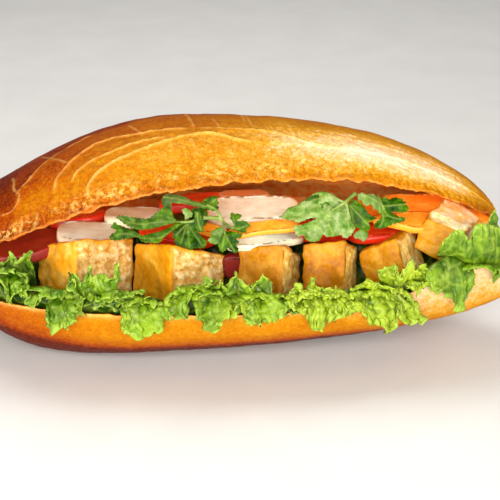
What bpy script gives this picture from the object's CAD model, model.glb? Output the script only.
import math

import bpy
import numpy as np
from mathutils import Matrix, Vector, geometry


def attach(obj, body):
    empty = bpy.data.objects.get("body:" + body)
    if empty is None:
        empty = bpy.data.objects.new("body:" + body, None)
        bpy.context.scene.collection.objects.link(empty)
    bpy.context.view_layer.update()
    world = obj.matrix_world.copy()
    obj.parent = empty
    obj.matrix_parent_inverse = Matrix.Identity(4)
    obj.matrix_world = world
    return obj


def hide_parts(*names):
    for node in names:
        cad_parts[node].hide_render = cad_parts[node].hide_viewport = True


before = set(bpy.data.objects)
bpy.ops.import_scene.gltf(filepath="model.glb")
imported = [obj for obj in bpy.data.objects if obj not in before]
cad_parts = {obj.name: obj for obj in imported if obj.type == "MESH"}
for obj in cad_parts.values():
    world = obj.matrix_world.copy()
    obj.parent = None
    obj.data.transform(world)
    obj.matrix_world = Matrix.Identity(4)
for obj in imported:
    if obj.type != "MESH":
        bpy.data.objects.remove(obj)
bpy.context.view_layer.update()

# Lengths below are millimetres in the loaf's own frame; SHIFT takes it to the
# row frame, and every mesh is written in metres.
SHIFT = np.array([-6.45, 4.8, 0.0])
PI = math.pi


# ------------------------------------------------------------------ small maths
def smooth(a, b, v):
    t = np.clip((np.asarray(v, float) - a) / (b - a), 0, 1)
    return t * t * (3 - 2 * t)


def mix(a, b, t):
    return a + (b - a) * t


def unit(v):
    return v / np.maximum(np.linalg.norm(v, axis=-1, keepdims=True), 1e-9)


_rng = np.random.default_rng(20240711)
_PERM = _rng.permutation(1024)
_GRAD = unit(_rng.normal(size=(1024, 3)))


def noise(p, seed=0):
    """Gradient noise, about -0.7 to 0.7, of points (..., 3)."""
    p = np.asarray(p, float)
    i = np.floor(p).astype(np.int64)
    f = p - i
    u = f * f * f * (f * (f * 6 - 15) + 10)
    out = np.zeros(p.shape[:-1])
    for dx in (0, 1):
        wx = u[..., 0] if dx else 1 - u[..., 0]
        hx = _PERM[(i[..., 0] + dx + seed * 17) & 1023]
        for dy in (0, 1):
            wy = u[..., 1] if dy else 1 - u[..., 1]
            hy = _PERM[(hx + i[..., 1] + dy) & 1023]
            for dz in (0, 1):
                wz = u[..., 2] if dz else 1 - u[..., 2]
                h = _PERM[(hy + i[..., 2] + dz) & 1023]
                g = _GRAD[h]
                d = g[..., 0] * (f[..., 0] - dx) + g[..., 1] * (f[..., 1] - dy) + g[..., 2] * (f[..., 2] - dz)
                out += wx * wy * wz * d
    return out * 1.4


def fbm(p, octaves=3, seed=0, gain=0.5):
    out, amp, p = 0.0, 1.0, np.asarray(p, float)
    for k in range(octaves):
        out = out + amp * noise(p, seed + k * 5)
        p, amp = p * 2.03 + 11.7, amp * gain
    return out


def wobble(s, seed=0):
    """Noise along a line."""
    s = np.asarray(s, float)
    return noise(np.stack([s, np.full_like(s, 3.7 + seed), np.full_like(s, 1.9)], -1), seed)


def spline(points, n):
    """A smooth curve through the points, sampled n times."""
    pts = np.asarray(points, float)
    d = np.concatenate([[0], np.cumsum(np.linalg.norm(np.diff(pts, axis=0), axis=1) ** 0.7)])
    k, h = len(pts), np.diff(d)
    a = np.zeros((k, k))
    r = np.zeros_like(pts)
    a[0, 0] = a[-1, -1] = 1
    for i in range(1, k - 1):
        a[i, i - 1], a[i, i], a[i, i + 1] = h[i - 1], 2 * (h[i - 1] + h[i]), h[i]
        r[i] = 6 * ((pts[i + 1] - pts[i]) / h[i] - (pts[i] - pts[i - 1]) / h[i - 1])
    m = np.linalg.solve(a, r)
    t = np.linspace(0, d[-1], n)
    i = np.clip(np.searchsorted(d, t, side="right") - 1, 0, k - 2)
    hh = h[i][:, None]
    A = (d[i + 1] - t)[:, None] / hh
    B = (t - d[i])[:, None] / hh
    return A * pts[i] + B * pts[i + 1] + ((A**3 - A) * m[i] + (B**3 - B) * m[i + 1]) * hh * hh / 6


def turn_matrix(turn):
    """Yaw, lean back and roll in degrees, as the CAD lays its pieces."""
    z, x, y = math.radians(turn[0]), -math.radians(turn[1]), math.radians(turn[2])
    rz = np.array([[math.cos(z), -math.sin(z), 0], [math.sin(z), math.cos(z), 0], [0, 0, 1]])
    rx = np.array([[1, 0, 0], [0, math.cos(x), -math.sin(x)], [0, math.sin(x), math.cos(x)]])
    ry = np.array([[math.cos(y), 0, math.sin(y)], [0, 1, 0], [-math.sin(y), 0, math.cos(y)]])
    return rz @ rx @ ry


# ------------------------------------------------------------------ the camera
CAM_AT = np.array([5.282, -489.14, 268.65]) - SHIFT
CAM_TILT = math.radians(65.0)
CAM_LENS = 93.43
_K = 18.0 / CAM_LENS / 250.0


def ray(px, py):
    u, v = (np.asarray(px, float) - 250) * _K, -(np.asarray(py, float) - 250) * _K
    c, s = math.cos(CAM_TILT), math.sin(CAM_TILT)
    return np.stack([u, v * c + s, v * s - c], -1)


def at_depth(px, py, y):
    """The point seen at a place of the 500 by 500 view, at depth y."""
    d = ray(px, py)
    t = (y - CAM_AT[1]) / d[..., 1]
    return CAM_AT + d * np.asarray(t)[..., None]


def on_plane(px, py, origin, normal):
    d = ray(px, py)
    t = ((origin - CAM_AT) @ normal) / (d @ normal)
    return CAM_AT + d * np.asarray(t)[..., None]


# -------------------------------------------------------------- the loaf's form
XC, LEFT, RIGHT_TOP, RIGHT_BASE = -25.4, 88.6, 139.4, 152.4
HALF_WIDTH, TOP_HEIGHT, BASE_DEPTH = 44.7, 39.9, 33.2
HINGE_Y, HINGE_Z = 41.3, 30.8
_OPEN = np.array([[-114, 17.4], [-90, 18.3], [-65, 24.2], [-35, 30.1], [0, 34.1], [35, 36.0], [70, 35.5], [112, 28.4]], float)


def _natural(x, y):
    n, h = len(x), np.diff(x)
    a, r = np.eye(n), np.zeros(n)
    for i in range(1, n - 1):
        a[i, i - 1], a[i, i], a[i, i + 1] = h[i - 1], 2 * (h[i - 1] + h[i]), h[i]
        r[i] = 6 * ((y[i + 1] - y[i]) / h[i] - (y[i] - y[i - 1]) / h[i - 1])
    return np.linalg.solve(a, r)


_OPEN_M = _natural(_OPEN[:, 0], _OPEN[:, 1])


def opening(q):
    x, y = _OPEN[:, 0], _OPEN[:, 1]
    v = np.clip(q, x[0], x[-1])
    i = np.clip(np.searchsorted(x, v, side="right") - 1, 0, len(x) - 2)
    h = x[i + 1] - x[i]
    a, b = (x[i + 1] - v) / h, (v - x[i]) / h
    return np.radians(a * y[i] + b * y[i + 1] + ((a**3 - a) * _OPEN_M[i] + (b**3 - b) * _OPEN_M[i + 1]) * h * h / 6)


def superell(t, p, q):
    return np.maximum(0, 1 - np.abs(t) ** p) ** (1 / q)


def top_span(x):
    return np.where(x < XC, (XC - x) / LEFT, (x - XC) / RIGHT_TOP)


def base_span(x):
    return np.where(x < XC, (XC - x) / LEFT, (x - XC) / RIGHT_BASE)


def top_width(x):
    return HALF_WIDTH * superell(top_span(x), 2, 2)


def top_rise(x):
    return TOP_HEIGHT * superell(top_span(x), 1.6, 2)


def base_width(x):
    return HALF_WIDTH * superell(base_span(x), 2, 2)


def base_fall(x):
    return BASE_DEPTH * np.where(x < -55, superell(np.maximum(-55 - x, 0) / 59.0, 2.77, 1.1), superell(np.maximum(x + 55, 0) / 182.0, 1.23, 2.42))


def nose_rise(x):
    return 12 * np.where(x < 98, smooth(58, 98, x), superell(np.maximum(x - 98, 0) / 29.01, 2, 2))


def top_point(x, a, b):
    th = opening(x)
    c, s = np.cos(th), np.sin(th)
    return np.stack(np.broadcast_arrays(x, HINGE_Y - HALF_WIDTH * c - c * a + s * b, HINGE_Z + HALF_WIDTH * s + s * a + c * b), -1)


def base_point(x, a, b):
    c, s = math.cos(math.radians(1.1)), math.sin(math.radians(1.1))
    w, deep = np.maximum(base_width(x), 1e-3), np.clip(b / np.maximum(base_fall(x), 1e-3), 0, 1)
    lift = nose_rise(x) * (0.58 + 0.42 * np.clip(a / w, -1, 1)) * (1 - smooth(0, 0.75, deep))
    z = np.maximum(0, HINGE_Z + HALF_WIDTH * s + 0.3 * smooth(40, 130, x) + s * a + lift - c * b)
    return np.stack(np.broadcast_arrays(x, HINGE_Y - HALF_WIDTH * c - c * a - s * b, z), -1)


def top_hollow(x, a):
    r = np.clip(np.abs(a) / np.maximum(top_width(x), 1e-3), 0, 1)
    return np.minimum(14.0, top_rise(x) * 0.38) * (1 - r**3.2)


def base_hollow(x, a):
    r = np.clip(np.abs(a) / np.maximum(base_width(x), 1e-3), 0, 1)
    return 9.5 * superell(base_span(x), 3, 1.2) * (1 - smooth(78, 104, x)) * (1 - r**2.6)


def keel(x, phi):
    r = math.radians
    return (BASE_DEPTH - base_fall(x)) * smooth(-80, -60, x) * (1 - smooth(18, 66, x)) * smooth(r(60), r(86), phi) * (1 - smooth(r(104), r(136), phi))


def floor_z(x, y):
    a = HINGE_Y - HALF_WIDTH - y
    return base_point(x, a, base_hollow(x, a))[..., 2]


def ceiling_z(x, y):
    th = opening(x)
    a0 = (HINGE_Y - HALF_WIDTH * np.cos(th) - y) / np.cos(th)
    a = a0
    for _ in range(6):
        a = a0 + np.tan(th) * top_hollow(x, a)
    return top_point(x, a, top_hollow(x, a))[..., 2]


def rim_y(x):
    return HINGE_Y - HALF_WIDTH - base_width(np.clip(x, -113.5, 126.5))


def at_rim(px, py, off):
    """The point seen at px, py that lies off mm inside (+) or outside (-) the front rim."""
    y = np.full(np.shape(px), -45.0)
    for _ in range(5):
        p = at_depth(px, py, y)
        y = rim_y(p[..., 0]) + off
    return at_depth(px, py, y)


# ------------------------------------------------------------------ making meshes
def new_mesh(name, verts, quads=None, tris=None, attrs=None, smooth_shade=True):
    """verts in mm of the loaf frame; faces as index arrays."""
    v = (np.asarray(verts, float) + SHIFT) / 1000.0
    parts = [np.asarray(f, np.int64) for f in (quads, tris) if f is not None and len(f)]
    loops = np.concatenate([f.ravel() for f in parts])
    sizes = np.concatenate([np.full(len(f), f.shape[1]) for f in parts])
    starts = np.concatenate([[0], np.cumsum(sizes)[:-1]])
    me = bpy.data.meshes.new(name)
    me.vertices.add(len(v))
    me.vertices.foreach_set("co", v.astype(np.float32).ravel())
    me.loops.add(len(loops))
    me.loops.foreach_set("vertex_index", loops.astype(np.int32))
    me.polygons.add(len(sizes))
    me.polygons.foreach_set("loop_start", starts.astype(np.int32))
    me.polygons.foreach_set("use_smooth", np.full(len(sizes), smooth_shade))
    me.update(calc_edges=True)
    me.validate()
    for key, val in (attrs or {}).items():
        at = me.attributes.new(key, "FLOAT", "POINT")
        at.data.foreach_set("value", np.asarray(val, np.float32).ravel())
    ob = bpy.data.objects.new(name, me)
    bpy.context.scene.collection.objects.link(ob)
    return ob


def piece(name, nodes, material, verts, quads=None, tris=None, attrs=None, smooth_shade=True):
    ob = new_mesh(name, verts, quads, tris, attrs, smooth_shade)
    ob.data.materials.append(material)
    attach(ob, "root")
    if nodes:
        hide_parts(*nodes)
    return ob


def tube_quads(n, m, close=True):
    """Quads of n rings of m points."""
    i, j = np.meshgrid(np.arange(n - 1), np.arange(m if close else m - 1), indexing="ij")
    a, b = i * m + j, i * m + (j + 1) % m
    return np.stack([a, b, b + m, a + m], -1).reshape(-1, 4)


def outward(verts, quads, tris):
    """Flips the faces if the body is inside out."""
    v, vol = np.asarray(verts), 0.0
    for f in (quads, tris):
        if f is None or not len(f):
            continue
        f = np.asarray(f)
        for k in range(1, f.shape[1] - 1):
            vol += np.einsum("ij,ij->", v[f[:, 0]], np.cross(v[f[:, k]], v[f[:, k + 1]]))
    if vol < 0:
        quads = None if quads is None else np.asarray(quads)[:, ::-1]
        tris = None if tris is None else np.asarray(tris)[:, ::-1]
    return quads, tris


def grid_normals(P, wrap=False):
    """Normals of a grid of points (n, m, 3); wrap joins the last column to the first."""
    du = np.gradient(P, axis=0)
    if wrap:
        dv = (np.roll(P, -1, 1) - np.roll(P, 1, 1)) / 2
    else:
        dv = np.gradient(P, axis=1)
    return unit(np.cross(du, dv))


def lofted(P, attrs):
    """A closed body from rings P (n, m, 3), its ends closed on their middles."""
    n, m, _ = P.shape
    ends = np.stack([P[0].mean(0), P[-1].mean(0)])
    verts = np.concatenate([P.reshape(-1, 3), ends])
    quads = tube_quads(n, m)
    j = np.arange(m)
    t0 = np.stack([np.full(m, n * m), (j + 1) % m, j], -1)
    t1 = np.stack([np.full(m, n * m + 1), (n - 1) * m + j, (n - 1) * m + (j + 1) % m], -1)
    tris = np.concatenate([t0, t1])
    quads, tris = outward(verts, quads, tris)
    out = {k: np.concatenate([a.reshape(-1), [a[0].mean(), a[-1].mean()]]) for k, a in attrs.items()}
    return verts, quads, tris, out


def sheet(P, t, attrs):
    """A closed thin leaf from a grid P (n, m, 3) and its thickness t (n, m)."""
    n, m, _ = P.shape
    N = grid_normals(P)
    t = np.broadcast_to(t, (n, m))[..., None]
    verts = np.concatenate([(P + N * t / 2).reshape(-1, 3), (P - N * t / 2).reshape(-1, 3)])
    q = tube_quads(n, m, close=False)
    low = q[:, ::-1] + n * m
    rim = np.concatenate([np.arange(m), np.arange(1, n) * m + m - 1, (n - 1) * m + np.arange(m - 2, -1, -1), np.arange(n - 2, 0, -1) * m])
    nxt = np.roll(rim, -1)
    side = np.stack([rim, rim + n * m, nxt + n * m, nxt], -1)
    quads = np.concatenate([q, low, side])
    quads, _ = outward(verts, quads, None)
    return verts, quads, {k: np.concatenate([np.broadcast_to(a, (n, m)).reshape(-1)] * 2) for k, a in attrs.items()}


class Pile:
    """Several closed shells gathered into one piece."""

    def __init__(self):
        self.v, self.q, self.t, self.a, self.n = [], [], [], {}, 0

    def add(self, verts, quads=None, tris=None, attrs=None):
        self.v.append(np.asarray(verts))
        if quads is not None and len(quads):
            self.q.append(np.asarray(quads) + self.n)
        if tris is not None and len(tris):
            self.t.append(np.asarray(tris) + self.n)
        for k, a in (attrs or {}).items():
            self.a.setdefault(k, []).append(np.asarray(a).ravel())
        self.n += len(verts)

    def make(self, name, slot, nodes, material):
        return piece(name, nodes, material, np.concatenate(self.v),
                     np.concatenate(self.q) if self.q else None, np.concatenate(self.t) if self.t else None,
                     {k: np.concatenate(a) for k, a in self.a.items()})


# ------------------------------------------------------------------ materials
def lin(r, g, b):
    out = []
    for c in (r, g, b):
        c = c / 255.0
        out.append(c / 12.92 if c <= 0.04045 else ((c + 0.055) / 1.055) ** 2.4)
    return (out[0], out[1], out[2], 1.0)


class Mat:
    def __init__(self, name, rough=0.5, **sockets):
        self.m = bpy.data.materials.new(name)
        self.m.use_nodes = True
        self.nt = self.m.node_tree
        self.nt.nodes.clear()
        self.out = self.nt.nodes.new("ShaderNodeOutputMaterial")
        self.b = self.nt.nodes.new("ShaderNodeBsdfPrincipled")
        self.nt.links.new(self.b.outputs["BSDF"], self.out.inputs["Surface"])
        self.b.inputs["Roughness"].default_value = rough
        for k, v in sockets.items():
            self.b.inputs[k.replace("_", " ")].default_value = v
        self.coord = self.nt.nodes.new("ShaderNodeTexCoord").outputs["Object"]

    def link(self, a, b):
        self.nt.links.new(a, b)

    def _put(self, sock, v):
        if hasattr(v, "links"):
            self.link(v, sock)
        else:
            sock.default_value = v

    def attr(self, name):
        n = self.nt.nodes.new("ShaderNodeAttribute")
        n.attribute_name = name
        return n.outputs["Fac"]

    def scaled(self, sx, sy, sz):
        n = self.nt.nodes.new("ShaderNodeMapping")
        n.inputs["Scale"].default_value = (sx, sy, sz)
        self.link(self.coord, n.inputs["Vector"])
        return n.outputs["Vector"]

    def noise(self, scale, detail=3.0, rough=0.55, distort=0.0, vec=None):
        n = self.nt.nodes.new("ShaderNodeTexNoise")
        self.link(vec or self.coord, n.inputs["Vector"])
        n.inputs["Scale"].default_value = scale
        n.inputs["Detail"].default_value = detail
        n.inputs["Roughness"].default_value = rough
        n.inputs["Distortion"].default_value = distort
        return n.outputs["Fac"]

    def voronoi(self, scale, feature="F1", vec=None, rand=1.0):
        n = self.nt.nodes.new("ShaderNodeTexVoronoi")
        n.feature = feature
        self.link(vec or self.coord, n.inputs["Vector"])
        n.inputs["Scale"].default_value = scale
        n.inputs["Randomness"].default_value = rand
        return n.outputs["Distance"]

    def ramp(self, fac, stops, interp="LINEAR"):
        n = self.nt.nodes.new("ShaderNodeValToRGB")
        n.color_ramp.interpolation = interp
        e = n.color_ramp.elements
        while len(e) > 1:
            e.remove(e[-1])
        e[0].position = stops[0][0]
        e[0].color = stops[0][1]
        for pos, col in stops[1:]:
            k = e.new(pos)
            k.color = col
        self.link(fac, n.inputs["Fac"])
        return n.outputs["Color"]

    def math(self, op, a, b=0.0, clamp=False):
        n = self.nt.nodes.new("ShaderNodeMath")
        n.operation = op
        n.use_clamp = clamp
        self._put(n.inputs[0], a)
        self._put(n.inputs[1], b)
        return n.outputs[0]

    def span(self, v, a, b, lo=0.0, hi=1.0):
        n = self.nt.nodes.new("ShaderNodeMapRange")
        n.clamp = True
        n.interpolation_type = "SMOOTHSTEP"
        self._put(n.inputs["Value"], v)
        n.inputs["From Min"].default_value, n.inputs["From Max"].default_value = a, b
        n.inputs["To Min"].default_value, n.inputs["To Max"].default_value = lo, hi
        return n.outputs["Result"]

    def mixc(self, fac, a, b, mode="MIX"):
        n = self.nt.nodes.new("ShaderNodeMix")
        n.data_type = "RGBA"
        n.blend_type = mode
        self._put(n.inputs["Factor"], fac)
        self._put(n.inputs[6], a)
        self._put(n.inputs[7], b)
        return n.outputs[2]

    def mixf(self, fac, a, b):
        n = self.nt.nodes.new("ShaderNodeMix")
        n.data_type = "FLOAT"
        self._put(n.inputs[0], fac)
        self._put(n.inputs[2], a)
        self._put(n.inputs[3], b)
        return n.outputs[0]

    def bump(self, height, strength=0.5, distance=0.0005, normal=None):
        n = self.nt.nodes.new("ShaderNodeBump")
        self._put(n.inputs["Strength"], strength)
        n.inputs["Distance"].default_value = distance
        self.link(height, n.inputs["Height"])
        if normal is not None:
            self.link(normal, n.inputs["Normal"])
        return n.outputs["Normal"]

    def set(self, **kw):
        for k, v in kw.items():
            self._put(self.b.inputs[k.replace("_", " ")], v)
        return self.m


def crust_material(name, grain):
    """Baked crust: bake runs pale to dark, pale lifts the torn ridges, crumb shows the cut bread."""
    m = Mat(name, 0.55, Specular_IOR_Level=0.05)
    m.b.inputs["Coat Weight"].default_value = 0.02
    m.b.inputs["Coat Roughness"].default_value = 0.3
    bake, pale, crumb, grit = m.attr("bake"), m.attr("pale"), m.attr("crumb"), m.attr("grit")
    mott = m.noise(95, 4, 0.6)
    fine = m.noise(480, 4, 0.65)
    dots = m.noise(1150, 3, 0.65)
    amt = m.math("ADD", 0.30, m.math("MULTIPLY", grit, 0.40))
    f = m.math("ADD", bake, m.math("MULTIPLY", m.math("SUBTRACT", mott, 0.5), 0.30))
    f = m.math("ADD", f, m.math("MULTIPLY", m.math("SUBTRACT", fine, 0.5), amt))
    f = m.math("ADD", f, m.math("MULTIPLY", m.math("SUBTRACT", 0.5, dots), amt), clamp=True)
    skin = m.ramp(f, [
        (0.00, lin(228, 196, 160)), (0.12, lin(220, 176, 118)), (0.26, lin(200, 142, 42)), (0.40, lin(180, 116, 6)),
        (0.54, lin(168, 98, 0)), (0.68, lin(158, 78, 0)), (0.84, lin(132, 46, 0)), (1.00, lin(86, 22, 2))])
    # pale flecks where the skin has blistered and flaked, darker pits between them
    pit = m.math("MULTIPLY", m.span(m.noise(820, 3, 0.65), 0.42, 0.34), grit)
    skin = m.mixc(m.math("MULTIPLY", pit, 0.22), skin, lin(152, 72, 0))
    fleck = m.math("MULTIPLY", m.span(m.noise(1250, 3, 0.7), 0.56, 0.68), grit)
    skin = m.mixc(m.math("MULTIPLY", fleck, 0.42), skin, lin(228, 174, 30))
    skin = m.mixc(m.math("MULTIPLY", pale, 0.70), skin, lin(234, 186, 100))
    # a froth of small pale bubbles along the torn edge
    froth = m.math("MULTIPLY", m.attr("froth"), m.span(m.noise(520, 3, 0.65), 0.44, 0.60))
    skin = m.mixc(m.math("MULTIPLY", froth, 0.55), skin, lin(240, 196, 104))
    hole = m.span(m.noise(300, 3, 0.6, 0.4), 0.36, 0.62)
    crumbc = m.mixc(hole, lin(255, 132, 40), lin(255, 170, 84))
    col = m.mixc(crumb, skin, crumbc)
    rough = m.mixf(crumb, m.span(fine, 0.3, 0.7, 0.42, 0.62), 0.85)
    h = m.math("MULTIPLY", m.math("ADD", m.noise(560, 4, 0.62), m.math("MULTIPLY", dots, 0.55)), m.math("ADD", 0.16, m.math("MULTIPLY", grit, 0.9)))
    n1 = m.bump(h, 0.85 * grain, 0.0009)
    return m.set(Base_Color=col, Roughness=rough, Normal=n1)


def tofu_material():
    m = Mat("tofu_fried", 0.5, Subsurface_Weight=0.06, Subsurface_Scale=0.002, Specular_IOR_Level=0.16)
    m.b.inputs["Subsurface Radius"].default_value = (1.0, 0.55, 0.2)
    m.b.inputs["Coat Weight"].default_value = 0.06
    m.b.inputs["Coat Roughness"].default_value = 0.3
    cut, edge, fib = m.attr("cut"), m.attr("edge"), m.attr("fib")
    a = m.noise(110, 4, 0.6, 0.6)
    b = m.noise(480, 3, 0.6)
    f = m.math("ADD", m.math("MULTIPLY", a, 0.75), m.math("MULTIPLY", b, 0.25))
    skin = m.ramp(f, [(0.32, lin(182, 108, 0)), (0.44, lin(206, 140, 10)), (0.56, lin(220, 164, 40)), (0.68, lin(236, 192, 92))])
    skin = m.mixc(m.math("MULTIPLY", edge, 0.85), skin, m.ramp(b, [(0.35, lin(200, 118, 0)), (0.65, lin(222, 150, 4))]))
    skin = m.mixc(m.attr("tan"), skin, m.ramp(f, [(0.32, lin(124, 62, 0)), (0.48, lin(162, 98, 0)), (0.64, lin(196, 136, 26))]))
    skin = m.mixc(m.attr("glow"), skin, m.ramp(f, [(0.34, lin(222, 142, 8)), (0.50, lin(236, 168, 40)), (0.66, lin(244, 196, 96))]))
    speck = m.span(m.noise(820, 2, 0.5), 0.70, 0.76)
    skin = m.mixc(m.math("MULTIPLY", speck, 0.55), skin, lin(150, 78, 20))
    g = m.math("ADD", m.math("MULTIPLY", fib, 0.36), m.math("MULTIPLY", m.noise(820, 4, 0.7), 0.64))
    flesh = m.ramp(g, [(0.26, lin(186, 112, 30)), (0.38, lin(210, 154, 66)), (0.50, lin(228, 184, 102)), (0.64, lin(246, 216, 156))])
    flesh = m.mixc(m.attr("fresh"), flesh, m.ramp(g, [(0.24, lin(244, 206, 100)), (0.42, lin(252, 244, 162)), (0.60, lin(255, 255, 214))]))
    flesh = m.mixc(m.math("MULTIPLY", m.attr("warm"), 0.95), flesh, m.ramp(g, [(0.26, lin(224, 142, 16)), (0.44, lin(250, 190, 58)), (0.64, lin(255, 224, 118))]))
    col = m.mixc(cut, skin, flesh)
    n1 = m.bump(m.noise(300, 4, 0.6), 0.3, 0.0006)
    n2 = m.bump(m.noise(1100, 3, 0.7), m.mixf(cut, 0.25, 0.7), 0.0005, n1)
    return m.set(Base_Color=col, Roughness=m.mixf(cut, m.span(b, 0.3, 0.7, 0.36, 0.55), 0.72), Normal=n2)


def daikon_material():
    m = Mat("daikon_pickled", 0.36, Subsurface_Weight=0.2, Subsurface_Scale=0.003, Specular_IOR_Level=0.4)
    m.b.inputs["Subsurface Radius"].default_value = (1.0, 0.9, 0.7)
    m.b.inputs["Coat Weight"].default_value = 0.2
    m.b.inputs["Coat Roughness"].default_value = 0.25
    f = m.noise(130, 4, 0.55, 0.5)
    fibre = m.noise(60, 4, 0.6, 0.2, m.scaled(1.2, 9, 9))
    g = m.math("ADD", m.math("MULTIPLY", f, 0.6), m.math("MULTIPLY", fibre, 0.4))
    col = m.ramp(g, [(0.32, lin(214, 220, 190)), (0.5, lin(224, 240, 222)), (0.68, lin(234, 254, 244))])
    rim = m.attr("rim")
    col = m.mixc(m.math("MULTIPLY", rim, 0.60), col, lin(234, 204, 152))
    col = m.mixc(m.attr("dim"), col, lin(226, 150, 84))
    return m.set(Base_Color=col, Normal=m.bump(fibre, 0.12, 0.0004))


def carrot_material():
    m = Mat("carrot_raw", 0.38, Subsurface_Weight=0.12, Subsurface_Scale=0.002, Specular_IOR_Level=0.4)
    m.b.inputs["Subsurface Radius"].default_value = (1.0, 0.45, 0.1)
    m.b.inputs["Coat Weight"].default_value = 0.2
    m.b.inputs["Coat Roughness"].default_value = 0.25
    f = m.noise(210, 4, 0.6, 0.3)
    grain = m.noise(900, 3, 0.7)
    g = m.math("ADD", m.math("MULTIPLY", f, 0.65), m.math("MULTIPLY", grain, 0.35))
    col = m.ramp(g, [(0.32, lin(246, 148, 20)), (0.5, lin(252, 174, 46)), (0.68, lin(255, 200, 88))])
    col = m.mixc(m.math("MULTIPLY", m.attr("rim"), 0.4), col, lin(248, 140, 8))
    return m.set(Base_Color=col, Normal=m.bump(grain, 0.18, 0.0003))


def tomato_material():
    m = Mat("tomato_ripe", 0.30, Subsurface_Weight=0.15, Subsurface_Scale=0.003, Specular_IOR_Level=0.45)
    m.b.inputs["Subsurface Radius"].default_value = (1.0, 0.2, 0.08)
    m.b.inputs["Coat Weight"].default_value = 0.12
    m.b.inputs["Coat Roughness"].default_value = 0.2
    f = m.noise(120, 4, 0.6, 0.6)
    col = m.ramp(f, [(0.30, lin(188, 34, 8)), (0.5, lin(214, 54, 16)), (0.68, lin(230, 90, 36))])
    col = m.mixc(m.math("MULTIPLY", m.attr("rim"), 0.7), col, lin(204, 32, 10))
    col = m.mixc(m.attr("dim"), col, lin(112, 14, 6))
    return m.set(Base_Color=col, Roughness=m.mixf(m.attr("dim"), 0.30, 0.62), Normal=m.bump(m.noise(500, 3, 0.6), 0.12, 0.0003))


def lettuce_material(name="lettuce_frill", deep=0.0):
    m = Mat(name, 0.34, Subsurface_Weight=0.2, Subsurface_Scale=0.0012, Specular_IOR_Level=0.22)
    m.b.inputs["Subsurface Radius"].default_value = (0.55, 1.0, 0.18)
    m.b.inputs["Coat Weight"].default_value = 0.08
    m.b.inputs["Coat Roughness"].default_value = 0.2
    edge, shade, tone = m.attr("edge"), m.attr("shade"), m.attr("tone")
    big = m.noise(70, 3, 0.5)
    veins = m.voronoi(150, "DISTANCE_TO_EDGE", m.scaled(1, 1, 1.0))
    v = m.span(veins, 0.0, 0.16, 1.0, 0.0)
    body = m.ramp(big, [(0.30, lin(46, 86, 0)), (0.50, lin(72, 112, 2)), (0.70, lin(106, 140, 10))])
    body = m.mixc(tone, body, lin(184, 196, 44))
    body = m.mixc(m.span(shade, 0.15, 0.95), body, lin(24, 60, 0))
    body = m.mixc(m.math("MULTIPLY", v, 0.15), body, lin(200, 220, 84))
    body = m.mixc(m.math("MULTIPLY", edge, 0.42), body, lin(172, 200, 72))
    if deep:
        body = m.mixc(deep, body, lin(52, 92, 12))
    h = m.math("ADD", m.math("MULTIPLY", m.noise(330, 3, 0.6), 0.8), m.math("MULTIPLY", veins, 0.9))
    return m.set(Base_Color=body, Normal=m.bump(h, 0.35, 0.0008))


def coriander_material():
    m = Mat("coriander_leaf", 0.42, Specular_IOR_Level=0.10)
    pale, vein, edge = m.attr("pale"), m.attr("vein"), m.attr("edge")
    f = m.noise(230, 3, 0.6)
    top = m.ramp(f, [(0.34, lin(12, 44, 0)), (0.50, lin(36, 76, 0)), (0.66, lin(78, 118, 0))])
    back = m.ramp(m.noise(280, 4, 0.62), [(0.34, lin(74, 116, 26)), (0.48, lin(118, 146, 70)), (0.62, lin(160, 178, 118))])
    col = m.mixc(pale, top, back)
    col = m.mixc(m.math("MULTIPLY", vein, 0.45), col, lin(156, 174, 76))
    col = m.mixc(m.math("MULTIPLY", edge, 0.30), col, lin(88, 122, 4))
    h = m.math("ADD", m.noise(600, 3, 0.6), m.math("MULTIPLY", vein, 0.8))
    return m.set(Base_Color=col, Normal=m.bump(h, 0.5, 0.0006))


# ------------------------------------------------------------------ bread
# torn edges of the scored crust: station and angle round the crust in degrees
SCORE_LINES = {
    "a": [(-50, 9), (-50.6, 13), (-50, 17.3), (-46.2, 23.5), (-40.2, 27.1), (-30.8, 30.3), (-21.1, 33.8), (-9.3, 36.5), (-0.4, 34.9), (7.8, 28.9), (15.6, 26.2)],
    "b": [(-56.9, 22), (-56.4, 26.5), (-52.2, 31.4), (-46.7, 33.5), (-37.5, 35.4), (-27.8, 37.1), (-20.1, 36.8)],
    "c": [(-64.6, 20), (-63.9, 26), (-63.2, 31.4), (-58.4, 39.2), (-52.9, 44.9), (-44.5, 48.2), (-34.5, 45.5), (-22, 43.5), (-10.1, 42.2)],
    "d": [(-80.5, 34.5), (-79.6, 37.1), (-77.1, 40.6), (-72.4, 49.2), (-68.1, 55.5), (-60, 61), (-50, 64)],
    "e": [(-84.3, 62.5), (-82.4, 52), (-81.4, 42.2), (-78.4, 33.8)],
    "e2": [(-86.6, 23.8), (-82.5, 22.8), (-79.6, 25.7), (-78.9, 35.4)],
    "h": [(-10.1, 42.2), (7.8, 39.2), (27.8, 33.5), (35.8, 28.1), (43.2, 26.8)],
    "s1": [(-37.3, 59.8), (-30.3, 41.9)], "s2": [(-73.1, 70.1), (-66, 52), (-58.7, 37.9)], "s3": [(-3.6, 54.4), (-0.1, 41.9)],
    "s4": [(7.6, 65.5), (9.8, 46.5)], "s5": [(10.1, 59.2), (12.8, 41.7)], "s6": [(26.5, 51.7), (29.5, 30.8)],
    "flap": [(-16.3, 74.9), (-10.1, 42.2)], "patch": [(-11.8, 34.1), (-8.1, 19.7)]}
SCORE_STRONG = {"a": 1.0, "b": 0.75, "c": 0.7, "d": 0.6, "e": 0.45, "e2": 0.4, "h": 0.55, "flap": 0.5, "patch": 0.4}


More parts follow.
